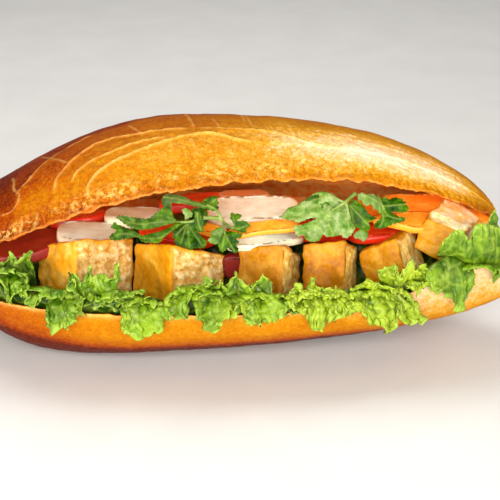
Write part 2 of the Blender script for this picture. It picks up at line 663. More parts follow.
def line_distance(x, s, pts, r=42.0):
    """Distance in mm from crust points (x, s=angle*r) to a score line, and how far along it."""
    c = spline(pts, 40) if len(pts) > 2 else np.array(pts, float)
    c = np.stack([c[:, 0], np.radians(c[:, 1]) * r], -1)
    best, along = np.full(x.shape, 1e9), np.zeros(x.shape)
    for k in range(len(c) - 1):
        a, b = c[k], c[k + 1]
        d = b - a
        t = np.clip(((x - a[0]) * d[0] + (s - a[1]) * d[1]) / max(d @ d, 1e-9), 0, 1)
        e = np.hypot(x - a[0] - t * d[0], s - a[1] - t * d[1])
        along = np.where(e < best, (k + t) / (len(c) - 1), along)
        best = np.minimum(best, e)
    return best, along


def stations(left, right, width, n):
    """Stations spaced evenly along the outline of a half seen from above."""
    t = np.sin(np.linspace(-PI / 2 * 0.992, PI / 2 * 0.992, 4001))
    x = XC + np.where(t < 0, t * left, t * right)
    w = width(x)
    s = np.concatenate([[0], np.cumsum(np.hypot(np.diff(x), np.diff(w)))])
    return np.interp(np.linspace(0, s[-1], n), s, x)


def line_level(x, phi, name, soft=1.2):
    """1 inside (in front of) a score line, 0 behind it, mixing over soft degrees."""
    c = spline(SCORE_LINES[name], 80)
    o = np.argsort(c[:, 0])
    lim = np.interp(x, c[o, 0], c[o, 1])
    return (1 - smooth(-soft, soft, phi - lim)) * smooth(c[:, 0].min() - 1.0, c[:, 0].min() + 1.0, x)


def bread_top(mat):
    nx = 456
    x = stations(LEFT, RIGHT_TOP, top_width, nx)
    phi = np.concatenate([np.linspace(0, 92, 150, endpoint=False), np.linspace(92, 180, 30)])
    nin = np.concatenate([np.linspace(0, 0.80, 14)[1:], np.linspace(0.80, 1, 24)[1:-1]])
    X = x[:, None] * np.ones((1, len(phi)))
    PH = phi[None, :] * np.ones((nx, 1))
    w, h = top_width(X), top_rise(X)
    outer = top_point(X, w * np.cos(np.radians(PH)), h * np.sin(np.radians(PH)))
    s = np.radians(PH) * 42.0
    # relief of the crust, in mm along the normal
    flat = np.stack([X, s, np.zeros_like(X)], -1)
    rise = 0.5 * fbm(outer / 30, 2, 3) + 0.25 * fbm(outer / 11, 2, 5)
    pale = np.zeros_like(X)
    for key, pts in SCORE_LINES.items():
        d, along = line_distance(X, s, pts)
        k = SCORE_STRONG.get(key, 0.3)
        ends = smooth(0, 0.1, along) * (1 - smooth(0.9, 1.0, along)) if key not in ("a",) else 1 - smooth(0.86, 1.0, along)
        ragged = 0.75 + 0.55 * fbm(flat / 3.2, 2, 8)
        ridge = np.exp(-((d / (0.36 + 0.14 * k)) ** 2)) * ends * np.clip(ragged, 0.15, 1.4)
        rise += 0.80 * k * ridge
        pale = np.maximum(pale, np.clip(ridge * (0.35 + 0.65 * k), 0, 1))
    # behind each long line the old skin stands a little proud of the split
    ia, ib, ic, idd, ih = (line_level(X, PH, q) for q in ("a", "b", "c", "d", "h"))
    rise += 0.55 * (1 - ia) * line_level(X, PH, "b", 9) + 0.35 * (1 - ib) * line_level(X, PH, "c", 9) + 0.3 * (1 - ic) * line_level(X, PH, "d", 10)
    # the front was stretched in the oven: small wrinkles and blisters
    front = (1 - smooth(38, 62, PH)) * smooth(-100, -70, X)
    lumps = fbm(outer / 3.2, 3, 11)
    crease = np.abs(noise(outer / 1.9 + 0.6 * lumps[..., None], 13))
    rise += front * (0.34 * lumps + 0.45 * crease)
    rise += (1 - front) * 0.05 * fbm(outer / 5, 2, 12)
    # the cut edge is torn and bubbly
    lip = np.exp(-((PH / 9.0) ** 2)) * smooth(3, 14, w)
    rough_lip = (0.45 + 0.55 * (1 - smooth(-10, 60, X)))
    bub = 1 - 2.4 * np.abs(noise(outer / 3.2, 17))
    rise += lip * rough_lip * (0.7 + 1.2 * bub * np.exp(-((PH / 6.5) ** 2)) + 0.9 * fbm(outer / 1.9, 2, 19))
    crumbs = smooth(-0.2, 0.5, bub) * np.exp(-(((PH - 7) / 4.8) ** 2)) * smooth(-0.2, 0.2, fbm(outer / 15, 2, 91)) * (1 - smooth(40, 80, X))
    froth = np.clip(1.1 * crumbs * smooth(3, 14, w), 0, 1)
    rise += 0.55 * np.exp(-(((PH - 10) / 7) ** 2)) * smooth(3, 14, w) * fbm(outer / 2.3, 2, 20)
    rise *= smooth(1.5, 9, w)
    # cut face, from the hinge to the lip
    an = -np.cos(PI * nin)[None, :]
    XI = x[:, None] * np.ones((1, len(nin)))
    a = an * top_width(XI)
    inner = top_point(XI, a, top_hollow(XI, a))
    P = np.concatenate([outer, inner], 1)
    N = grid_normals(P, wrap=True)
    mid = P.mean(1, keepdims=True)
    if ((P - mid) * N)[:, 5:100].sum() < 0:
        N = -N
    xi = np.stack([XI, a, np.zeros_like(XI)], -1)
    pits = 0.5 * fbm(xi / 7, 2, 21) + 0.45 * fbm(xi / 2.6, 3, 23)
    pits = pits * smooth(3, 14, top_width(XI)) * (1 - 0.65 * smooth(0.93, 1.0, np.abs(an)))
    R = np.concatenate([rise, pits], 1)
    P = P + N * R[..., None]
    # ragged height of the lip itself
    drop = (1.5 * wobble(x / 5.3, 2) + 1.2 * wobble(x / 2.9, 4) * (0.4 + wobble(x / 11, 6)) + 0.5 * wobble(x / 1.3, 5)) * smooth(4, 16, top_width(x))
    fall = np.zeros(P.shape[1])
    fall[:10] = np.linspace(1, 0, 10)
    fall[-8:] = np.linspace(0, 1, 8)
    P[..., 2] += drop[:, None] * fall[None, :]
    for _ in range(2):  # ease the corner between crust and cut face
        k = np.r_[-3:5]
        P[:, k] = (np.roll(P, 1, 1)[:, k] + 2 * P[:, k] + np.roll(P, -1, 1)[:, k]) / 4
    # how dark each place is baked
    bake = 0.74 - 0.13 * idd - 0.11 * ic - 0.08 * ib - 0.07 * ia
    right = smooth(-12, 22, X)
    back = smooth(34, 84, PH)
    bake_r = 0.30 + 0.34 * back * (1 - 0.55 * smooth(30, 90, X) * (1 - smooth(84, 120, PH))) + 0.06 * smooth(90, 130, PH) + 0.05 * (1 - ih) - 0.14 * smooth(28, 62, X) * (1 - smooth(96, 112, X)) * np.exp(-(((PH - 30) / 17) ** 2)) + 0.06 * smooth(94, 112, X)
    bake = mix(bake, bake_r, right)
    bake = bake + 0.10 * (1 - smooth(-96, -74, X)) - 0.02 * smooth(70, 130, PH) - 0.16 * (1 - smooth(20, 36, PH)) * (1 - smooth(-66, -50, X)) * smooth(-112, -88, X)
    bake = bake + 0.06 * np.exp(-((PH / 15) ** 2)) + 0.04 * smooth(84, 104, X) + 0.07 * np.exp(-((PH / 5) ** 2))
    bake = bake - 0.17 * np.exp(-(((PH - 26) / 16) ** 2)) * smooth(8, 34, X) * (1 - smooth(84, 106, X))
    bake = bake + 0.15 * (1 - smooth(-60, -16, X)) + 0.14 * np.exp(-((PH / 9) ** 2))
    grit = np.clip(front * (0.45 + 0.75 * np.exp(-((PH / 16) ** 2))) * (1.0 - 0.45 * smooth(20, 70, X)), 0, 1)
    crumb = np.concatenate([0.5 * np.exp(-((PH / 1.5) ** 2)), smooth(1.0, 0.985, np.abs(an)) * np.ones_like(XI)], 1)
    ext = lambda q, v: np.concatenate([q, np.full(XI.shape, v)], 1)
    verts, quads, tris, at = lofted(P, {"bake": ext(bake, 0.5), "pale": ext(pale, 0), "grit": ext(grit, 0), "crumb": crumb, "froth": ext(froth, 0)})
    return piece("bread_top", ["bread_loaf"], mat, verts, quads, tris, at)


def bread_base(mat):
    nx = 330
    x = stations(LEFT, RIGHT_BASE, base_width, nx)
    phi = np.concatenate([np.linspace(0, 100, 84, endpoint=False), np.linspace(100, 180, 34)])
    nin = np.concatenate([np.linspace(0, 0.80, 20)[1:], np.linspace(0.80, 1, 24)[1:-1]])
    X = x[:, None] * np.ones((1, len(phi)))
    PH = phi[None, :] * np.ones((nx, 1))
    w, d = base_width(X), base_fall(X)
    rad = np.radians(PH)
    outer = base_point(X, w * np.cos(rad), d * np.sin(rad) + keel(X, rad))
    XI = x[:, None] * np.ones((1, len(nin)))
    an = -np.cos(PI * nin)[None, :]
    a = an * base_width(XI)
    inner = base_point(XI, a, base_hollow(XI, a))
    P = np.concatenate([outer, inner], 1)
    N = grid_normals(P, wrap=True)
    mid = P.mean(1, keepdims=True)
    if ((P - mid) * N)[:, 5:60].sum() < 0:
        N = -N
    s = rad * 38
    flat = np.stack([X, s, np.full_like(X, 9.0)], -1)
    rise = 0.4 * fbm(flat / 26, 2, 31) + 0.18 * fbm(flat / 8, 2, 33) + 0.07 * fbm(flat / 2.2, 2, 35)
    rim = np.exp(-((PH / 3.5) ** 2))
    rise += rim * 0.45 * fbm(flat / 2.6, 3, 37) * smooth(3, 14, w)
    rise *= smooth(1.5, 9, w) * (1 - 0.9 * smooth(60, 80, PH) * (1 - smooth(110, 130, PH)))
    xi = np.stack([XI, a, np.full_like(XI, 4.0)], -1)
    pits = (0.4 * fbm(xi / 6, 2, 41) + 0.45 * fbm(xi / 2.4, 3, 43)) * smooth(3, 14, base_width(XI))
    P = P + N * np.concatenate([rise, pits], 1)[..., None]
    P[..., 2] = np.maximum(P[..., 2], 0.0)
    for _ in range(2):
        k = np.r_[-3:4]
        P[:, k] = (np.roll(P, 1, 1)[:, k] + 2 * P[:, k] + np.roll(P, -1, 1)[:, k]) / 4
    bake = 0.46 + 0.34 * (1 - smooth(-100, -30, X)) + (0.40 * smooth(18, 42, PH) + 0.34 * smooth(30, 50, PH)) * (1 - 0.6 * smooth(50, 100, X)) - 0.32 * smooth(40, 90, X)
    bake += 0.08 * smooth(40, 66, PH) - 0.08 * np.exp(-((PH / 9) ** 2))
    pale = np.clip(np.exp(-((PH / 2.4) ** 2)) * (0.8 + 0.6 * fbm(flat / 3, 2, 45)), 0, 1)
    grit = 0.25 * (1 - smooth(20, 50, PH))
    crumb = np.concatenate([0.35 * np.exp(-((PH / 1.2) ** 2)), smooth(1.0, 0.985, np.abs(an)) * np.ones_like(XI)], 1)
    ext = lambda q, v: np.concatenate([q, np.full(XI.shape, v)], 1)
    verts, quads, tris, at = lofted(P, {"bake": ext(bake, 0.5), "pale": ext(pale, 0), "grit": ext(grit, 0), "crumb": crumb})
    return piece("bread_base", ["bread_loaf"], mat, verts, quads, tris, at)


def bread_hinge(mat):
    """The uncut strip along the back, with the crease in its crust."""
    x = np.linspace(-82, 58, 160)
    k = superell((x + 12) / 72, 4, 1.5)
    ring = []
    wt, wb = top_width(x), base_width(x)
    pb, pt, ph = math.radians(158), math.radians(162), math.radians(180)
    lo = base_point(x, wb * math.cos(pb), base_fall(x) * math.sin(pb))
    hi = top_point(x, wt * math.cos(pt), top_rise(x) * math.sin(pt))
    hinge = base_point(x, -wb, 0.0 * x)
    for t in np.linspace(0, 1, 15):
        ring.append((1 - t) ** 2 * lo + 2 * t * (1 - t) * (0.62 * hinge + 0.19 * (lo + hi)) + t * t * hi)
    r = 1 + 14 * k
    a1, a0 = -wt * 0.973 + r, -wb * 0.973 + r
    inn_t = top_point(x, a1, 2.2 + top_hollow(x, a1))
    inn_b = base_point(x, a0, 2.2 + base_hollow(x, a0))
    for t in np.linspace(0, 1, 9):
        ring.append(mix(inn_t, inn_b, t))
    P = np.stack(ring, 1)
    # taper both ends into the loaf
    end = np.minimum(smooth(-82, -70, x), 1 - smooth(46, 58, x))[:, None, None]
    mid = P.mean(1, keepdims=True)
    P = mid + (P - mid) * (0.15 + 0.85 * end)
    P[:, :15] += 0.0
    rise = 0.3 * fbm(P / 6, 3, 51)
    N = unit(P - P.mean(1, keepdims=True))
    P = P + N * rise[..., None]
    crumb = np.zeros(P.shape[:2])
    crumb[:, 15:] = 1
    one = np.ones(P.shape[:2])
    verts, quads, tris, at = lofted(P, {"bake": 0.80 * one, "pale": 0 * one, "grit": 0 * one, "crumb": crumb})
    return piece("bread_hinge", ["bread_loaf"], mat, verts, quads, tris, at)


# ------------------------------------------------------------------ fried tofu
TOFU = [
    ([-55.1, -15.4, 38.3], [-45.8, 9.5, -6.2], [24.2, 30.7, 23.9], [-3.9, 3.8, 0, -7.7]),
    ([-16.8, -17.8, 37.6], [-49.6, 8.2, -5.9], [24.6, 28.9, 23.2], [-0.9, 4.0, -4.3, -9.2]),
    ([19.5, -19.3, 38.4], [-21.3, 14.7, -3.7], [19.1, 22.9, 22.6], [-1.3, 1.8, -5.6, -6.7]),
    ([44.3, -18.9, 39.5], [-18.1, 15.3, -3.4], [17.4, 23.4, 22.9], [-1.2, 1.9, -4.4, -5.5]),
    ([69.8, -15.4, 40.8], [-30, 9, -22], [18, 21, 19.5], [-2.5, 0.5, 2.0, -2.5]),
    ([92.6, -10.8, 51.6], [-25.4, 9.9, 16.6], [17.2, 24.2, 17.6], [-4.1, -2.2, -1.0, 2.5])]


def cube_grid(n):
    """Points of a cube's surface, -1 to 1, welded, with its quads."""
    g = np.linspace(-1, 1, n + 1)
    A, B = np.meshgrid(g, g, indexing="ij")
    pts, quads, k = [], [], 0
    for axis in range(3):
        for sign in (-1, 1):
            p = np.zeros((n + 1, n + 1, 3))
            p[..., axis] = sign
            p[..., (axis + 1) % 3] = A if sign > 0 else B
            p[..., (axis + 2) % 3] = B if sign > 0 else A
            pts.append(p.reshape(-1, 3))
            quads.append(tube_quads(n + 1, n + 1, close=False) + k)
            k += (n + 1) ** 2
    pts, quads = np.concatenate(pts), np.concatenate(quads)
    key = np.round(pts * 1e5).astype(np.int64)
    _, first, inv = np.unique(key, axis=0, return_index=True, return_inverse=True)
    pts, quads = pts[first], inv.reshape(-1)[quads]
    quads, _ = outward(pts, quads, None)
    return pts, quads


def tofu_cube(i, mat):
    at, turn, size, tops = TOFU[i]
    u, quads = cube_grid(38)
    half = np.array(size) / 2
    rnd = 1.7
    q = np.sign(u) * np.abs(u) ** 0.88 * half
    core = half - rnd
    inner = np.clip(q, -core, core)
    off = q - inner
    n = unit(off)
    p = inner + n * rnd
    s, t = p[:, 0] / size[0] + 0.5, p[:, 1] / size[1] + 0.5
    seed = 60 + i * 7
    # the side that was cut after frying, and the top of the last cube
    wob = 1.6 * noise(p / 4.5 + 30, seed)
    dx = np.minimum(half[1] - np.abs(p[:, 1]), half[2] - np.abs(p[:, 2])) + wob
    cut = smooth(0.55, 0.85, n[:, 0]) * smooth(0.6, 2.6, dx)
    if i == 5:
        dz = np.minimum(half[1] - np.abs(p[:, 1]), half[0] - np.abs(p[:, 0])) + wob
        cut = np.maximum(cut, smooth(0.55, 0.85, n[:, 2]) * smooth(0.0, 1.6, dz))
    if i in (0, 2, 3):
        dz = np.minimum(half[1] - np.abs(p[:, 1]), half[0] - np.abs(p[:, 0])) + wob
        cut = np.maximum(cut, 0.55 * smooth(0.55, 0.85, n[:, 2]) * smooth(1.0, 3.0, dz))
    # torn fibres on the cut side run across it
    stretch = np.stack([p[:, 0] / 4, p[:, 1] / 3.6, p[:, 2] / 2.2], -1)
    f = fbm(stretch, 3, seed + 1)
    fine = fbm(p / 1.5, 2, seed + 2)
    fib = np.clip(0.5 + 0.75 * f + 0.25 * fine, 0, 1)
    low = 0.9 * fbm(p / 9, 2, seed + 3) + 0.30 * fbm(p / 2.8, 2, seed + 4)
    disp = low + cut * (0.50 * f + 0.20 * fine - 0.15)
    flat_p = p.copy()
    # a slight pillow on the fried faces and crisp raised edges
    near = np.sort(np.abs(p) / half, axis=1)
    rim = smooth(0.86, 0.98, near[:, 1])
    disp = disp + 0.25 * rim * (1 - cut)
    p = p + n * disp[:, None]
    k = np.clip(p[:, 2] / size[2] + 0.5, 0, 1.1)
    slope = mix(mix(tops[0], tops[1], s), mix(tops[3], tops[2], s), t)
    p[:, 2] += slope * k
    # upright edges are browner and more saturated
    vert_edge = smooth(0.55, 1.0, np.minimum(np.abs(p[:, 0]) / half[0], np.abs(p[:, 1]) / half[1]))
    band = smooth(6.5, 1.0, half[0] - flat_p[:, 0] + 1.2 * noise(flat_p / 6, seed + 9)) * smooth(0.3, 0.7, -n[:, 1])
    edge = np.clip(vert_edge * 0.5 + 0.8 * band + 0.35 * rim + (0, 0.15, 0.3, 0.5, 0.35, 0.2)[i], 0, 1) * (1 - cut)
    v = p @ turn_matrix(turn).T + np.array(at)
    fresh = cut * (0.0, 0.0, 0.4, 0.4, 0.6, 0.92)[i]
    warm = cut * (0.0, 0.0, 0.85, 0.85, 0.7, 0.1)[i]
    tan = (1 - cut) * (0.0, 0.15, 0.55, 0.85, 0.45, 0.3)[i]
    glow = (1 - cut) * (0.6, 0.0, 0.0, 0.0, 0.0, 0.0)[i]
    return piece(f"tofu_cube_{i + 1}", [f"tofu_{i + 1}"], mat, v, quads, None, {"cut": cut, "edge": edge, "fib": fib, "fresh": fresh, "warm": warm, "tan": tan, "glow": glow})


# ------------------------------------------------------------------ slices
SLICES = [
    ("daikon_1", [-53.5, -10.0, 49.6], [2, -4, 4], [27, 17.4, 4.4], dict(k=4.5)),
    ("daikon_2", [-36, 3, 51.8], [-2, 2, 0], [26, 15, 4.4], dict(k=3.0)),
    ("daikon_3", [13, -4, 57.2], [-4, -12, -2], [38, 18, 5.2], dict(k=4.0)),
    ("daikon_4", [9, 11, 58.0], [3, 8, 0], [22, 13, 3.4], dict(k=2.6, dim=0.7)),
    ("daikon_5", [17.5, -18.6, 51.7], [17, -8, 2], [33, 11.5, 3.0], dict(k=2.4, bend=1.2)),
    ("carrot_1", [17, -17.6, 56.3], [8, -16, -6], [30, 6.6, 2.2], dict(k=4, bend=1.5)),
    ("carrot_2", [80, 1, 57.8], [0, -6, 0], [27, 17, 3.0], dict(k=6)),
    ("carrot_3", [76, -13, 56.8], [3, -10, 3], [29, 12, 3.0], dict(k=5, point=-1)),
    ("carrot_4", [105.5, -4, 54.2], [-12, -8, 8], [14, 10, 2.6], dict(k=4, point=1)),
    ("carrot_5", [57, 2, 55.4], [6, -3, 3], [20, 17, 2.8], dict(k=4)),
    ("carrot_6", [-5, -13, 53.5], [-18, -18, 8], [15, 6, 2.4], dict(k=4)),
    ("tomato_1", [-80, -13, 45.6], [16, 2, -6], [34, 24, 4.6], dict(k=2.3, dim=0.75)),
    ("tomato_2", [-61, 6, 50.2], [4, 8, -3], [25, 17, 4.4], dict(k=2.3)),
    ("tomato_3", [-13, 9, 56.2], [4, 6, -6], [27, 15, 4.2], dict(k=2.3)),
    ("tomato_4", [-18, -10, 49.6], [-6, -6, 4], [32, 15, 4.0], dict(k=2.3)),
    ("tomato_5", [40, -8, 50.6], [0, -3, 0], [27, 15, 4.2], dict(k=2.4)),
    ("tomato_6", [66, -6, 50.6], [13, -4, -3], [31, 18, 3.6], dict(k=2.4)),
    ("tomato_7", [8.4, -18.4, 39.5], [78, 4, 84], [11, 16, 4.0], dict(k=4, dim=0.9))]


def slice_piece(name, at, turn, size, mat, slot, seed, k=4.0, bend=0.0, point=0.0, dim=0.0):
    L, W, T = size
    th = np.linspace(0, 2 * PI, 96, endpoint=False)
    c, s = np.cos(th), np.sin(th)
    r = 1 / (np.abs(c) ** k + np.abs(s) ** k) ** (1 / k)
    ring = []
    e = min(1.1, T * 0.36)  # rounding of the cut edge
    prof = [(q, T / 2, 0.0) for q in (0.04, 0.16, 0.32, 0.48, 0.64, 0.78, 0.90)]
    for ang in np.linspace(0, PI / 2, 6):
        prof.append((1.0, T / 2 - e + e * math.cos(ang), e * (1 - math.sin(ang))))
    full = prof + [(q, -z, d) for q, z, d in reversed(prof)]
    attr = []
    for q, z, d in full:
        cx, cy = (L / 2 - d) * q * c * r, (W / 2 - d) * q * s * r
        if point:
            cy = cy * mix(1, 0.12, smooth(-0.2, 1, point * cx / (L / 2)))
        ring.append(np.stack([cx, cy, np.full_like(cx, z)], -1))
        attr.append(np.full_like(cx, smooth(0.86, 1.0, q)))
    P = np.stack(ring, 0)
    flat = np.stack([P[..., 0], P[..., 1], np.full(P.shape[:2], seed * 3.1)], -1)
    # outline wobble, gentle warping and a slightly uneven cut
    P[..., :2] *= (1 + 0.035 * noise(np.stack([c * 1.4, s * 1.4, np.full_like(c, seed)], -1), seed))[None, :, None]
    P[..., 2] += 0.55 * fbm(flat / 13, 2, seed) - bend * (P[..., 0] / (L / 2)) ** 2
    P[..., 2] += 0.12 * fbm(flat / 2.4, 2, seed + 3) * np.sign(P[..., 2])
    P = P @ turn_matrix(turn).T + np.array(at)
    verts, quads, tris, out = lofted(P, {"rim": np.stack(attr, 0), "dim": np.full(P.shape[:2], dim)})
    return piece(name.replace("_", "_slice_"), [name], mat, verts, quads, tris, out)


# ------------------------------------------------------------------ lettuce
def leaf_bed(x0, x1, seed):
    """The crumpled body of a leaf: in the hollow, up behind the tofu, out to the rim."""
    nx, nb = int((x1 - x0) / 0.9), 64
    x = np.linspace(x0, x1, nx)
    s = superell(top_span(x), 2, 2)
    ry = HINGE_Y - HALF_WIDTH - base_width(x)
    by = np.minimum(22.0, HINGE_Y - HALF_WIDTH + base_width(x) * 0.55)
    t = np.linspace(0, 1, nb)[None, :]
    Y = mix(by[:, None], ry[:, None] - 0.2, t)
    X = x[:, None] * np.ones_like(Y)
    zb = floor_z(X, np.maximum(Y, ry[:, None] + 0.6)) + 0.35
    roof = np.maximum(zb + 2.0, ceiling_z(X, np.maximum(Y, -30)) - 1.0)
    heap = np.maximum(0, 20 * smooth(-10, 6, Y) * s[:, None] - 1.5 * np.sin(X * 0.4 + Y * 0.2))
    crest = 4.0 * smooth(13, 3, Y - ry[:, None])
    P0 = np.stack([X, Y, zb], -1)
    crump = 1.3 * fbm(P0 / 7, 3, seed) + 1.3 * np.abs(noise(P0 / 4.2, seed + 2))
    up = np.minimum(roof, zb + 2.4 + heap + crest + crump)
    P1 = np.stack([X + 0.8 * noise(P0 / 5, seed + 3), Y, up], -1)
    shut = np.minimum(smooth(0, 0.06, np.linspace(0, 1, nx)), 1 - smooth(0.94, 1, np.linspace(0, 1, nx)))[:, None]
    P1[..., 2] = mix(zb + 0.3, P1[..., 2], 0.25 + 0.75 * shut)
    P = np.concatenate([P0[:, ::4], P1[:, ::-1]], 1)
    e = np.concatenate([np.zeros(P0[:, ::4].shape[:2]), 0.15 * np.clip(crump[:, ::-1] / 2, 0, 1)], 1)
    sh = np.concatenate([np.ones(P0[:, ::4].shape[:2]), np.clip(0.85 - 0.35 * crump[:, ::-1] / 2, 0, 1)], 1)
    return lofted(P, {"edge": e, "shade": sh, "tone": 0 * e})


def blush(P, seed):
    """Slow patches of yellower green."""
    return np.clip(2 * fbm(P / 12, 2, seed + 71), 0, 1)


def crumple(P, seed):
    """Three noises as one push, so that a sheet folds over itself."""
    return np.stack([noise(P + 7.3 * k, seed + 31 * k) for k in range(3)], -1)


def frill(base, edge, offs=(3.0, -3.5), n=None, m=26, wave=11.0, amp=3.0, fine=3.6, famp=1.2, bulge=(0.0, -1.5, 1.0),
          teeth=1.0, seed=1, shade=0.0, out=(0.0, -0.85, 0.5), power=1.5, blister=0.8, crush=1.0, tone=0.0, deep=0.0):
    """A ruffled leaf margin between two lines given as seen: its root and its free edge."""
    b, e = np.asarray(base, float), np.asarray(edge, float)
    n0 = 200
    B, E = spline(b, n0) if len(b) > 2 else np.linspace(b[0], b[-1], n0), spline(e, n0)
    PB, PE = at_rim(B[:, 0], B[:, 1], offs[0]), at_rim(E[:, 0], E[:, 1], offs[1])
    s = np.concatenate([[0], np.cumsum(np.linalg.norm(np.diff(PE, axis=0), axis=1))])
    if n is None:
        n = int(np.clip(s[-1] / 0.38, 50, 220))
    t = np.linspace(0, s[-1], n)
    PB = np.stack([np.interp(t, s, PB[:, k]) for k in range(3)], -1)
    PE = np.stack([np.interp(t, s, PE[:, k]) for k in range(3)], -1)
    v = np.linspace(0, 1, m) ** 0.85
    P = PB[:, None] * (1 - v)[None, :, None] + PE[:, None] * v[None, :, None]
    P = P + (4 * v * (1 - v))[None, :, None] * np.array(bulge)
    T = unit(np.gradient(PE, axis=0))[:, None]
    D = unit(PE - PB)[:, None]
    O = unit(np.array(out, float))
    # the folds wander as they run out to the edge
    tt = t[:, None] * np.ones((1, m))
    vv = v[None, :] * np.ones((n, 1))
    wander = 2.6 * noise(np.stack([tt / 7.0, vv * 1.7, np.full_like(tt, seed)], -1), seed + 21)
    ph = 2 * PI * (tt + wander) / wave + (4.6 * wobble(t / (wave * 1.3), seed))[:, None]
    ph2 = 2 * PI * (tt + 0.7 * wander) / fine + (3.6 * wobble(t / (fine * 1.5), seed + 3))[:, None]
    A = (amp * (1 + 0.9 * wobble(t / (wave * 0.8), seed + 5)))[:, None]
    A2 = (famp * (1 + 1.0 * wobble(t / (fine * 1.2), seed + 7)))[:, None]
    W, W2 = vv**power, vv**2.0
    put = lambda q, d: q[..., None] * d
    P = P + put(0.75 * W * A * np.sin(ph), O) + put(0.38 * W * A * np.sin(2 * ph + 0.5), T) + put(0.2 * W * A * np.cos(ph + 1.0), D)
    P = P + put(0.7 * W2 * A2 * np.sin(ph2), O) + put(0.35 * W2 * A2 * np.sin(2 * ph2 + 0.9), T)
    lobe = np.abs(np.sin(PI * t / 3.3 + 2.2 * wobble(t / 3.0, seed + 9)))
    jag = 1.3 * lobe + 1.0 * wobble(t / 3.6, seed + 11) + 0.6 * wobble(t / 1.1, seed + 13) - 0.6
    P = P + put((v**4)[None, :] * (teeth * jag)[:, None], D)
    # the blade crumples over itself, then puffs up between the veins
    loose = 0.25 + 0.75 * vv
    low = P
    P = P + put(crush * 2.6 * loose, crumple(low / 5.4, seed + 50)) + put(crush * 1.3 * loose, crumple(low / 2.7, seed + 60))
    N = grid_normals(P)
    N = N * np.where((N @ O) < 0, -1.0, 1.0)[..., None]
    pill = np.clip(3.2 * np.abs(noise(low / 2.7, seed + 15)), 0, 1) ** 0.8
    P = P + put(blister * (pill - 0.4) * np.minimum(1, 2 * vv), N)
    th = mix(0.7, 0.3, v)[None, :] * np.ones((n, 1))
    ed = smooth(0.84, 1.0, vv) * 0.9 + 0.15 * pill * vv
    hollow = ((P - low) @ O) / 2.0
    sh = np.clip(shade + deep + 0.75 * (1 - vv) ** 1.3 - 0.35 * hollow - 0.25 * np.sin(ph) * vv + 0.30 * (0.6 - pill), 0, 1)
    return sheet(P, th, {"edge": ed, "shade": sh, "tone": np.full((n, m), float(tone)) + 0.12 * blush(P, seed)})


def view_from(origin, scale, pts):
    return [(origin[0] + x / scale, origin[1] + y / scale) for x, y in pts]


A_ = lambda pts: view_from((0, 190), 11.2, pts)
B_ = lambda pts: view_from((110, 180), 10.453, pts)
C_ = lambda pts: view_from((225, 262), 11.2, pts)
D_ = lambda pts: view_from((345, 210), 10.116, pts)
E_ = lambda pts: view_from((270, 175), 14.0, pts)
F_ = lambda pts: view_from((355, 186), 24.12, pts)

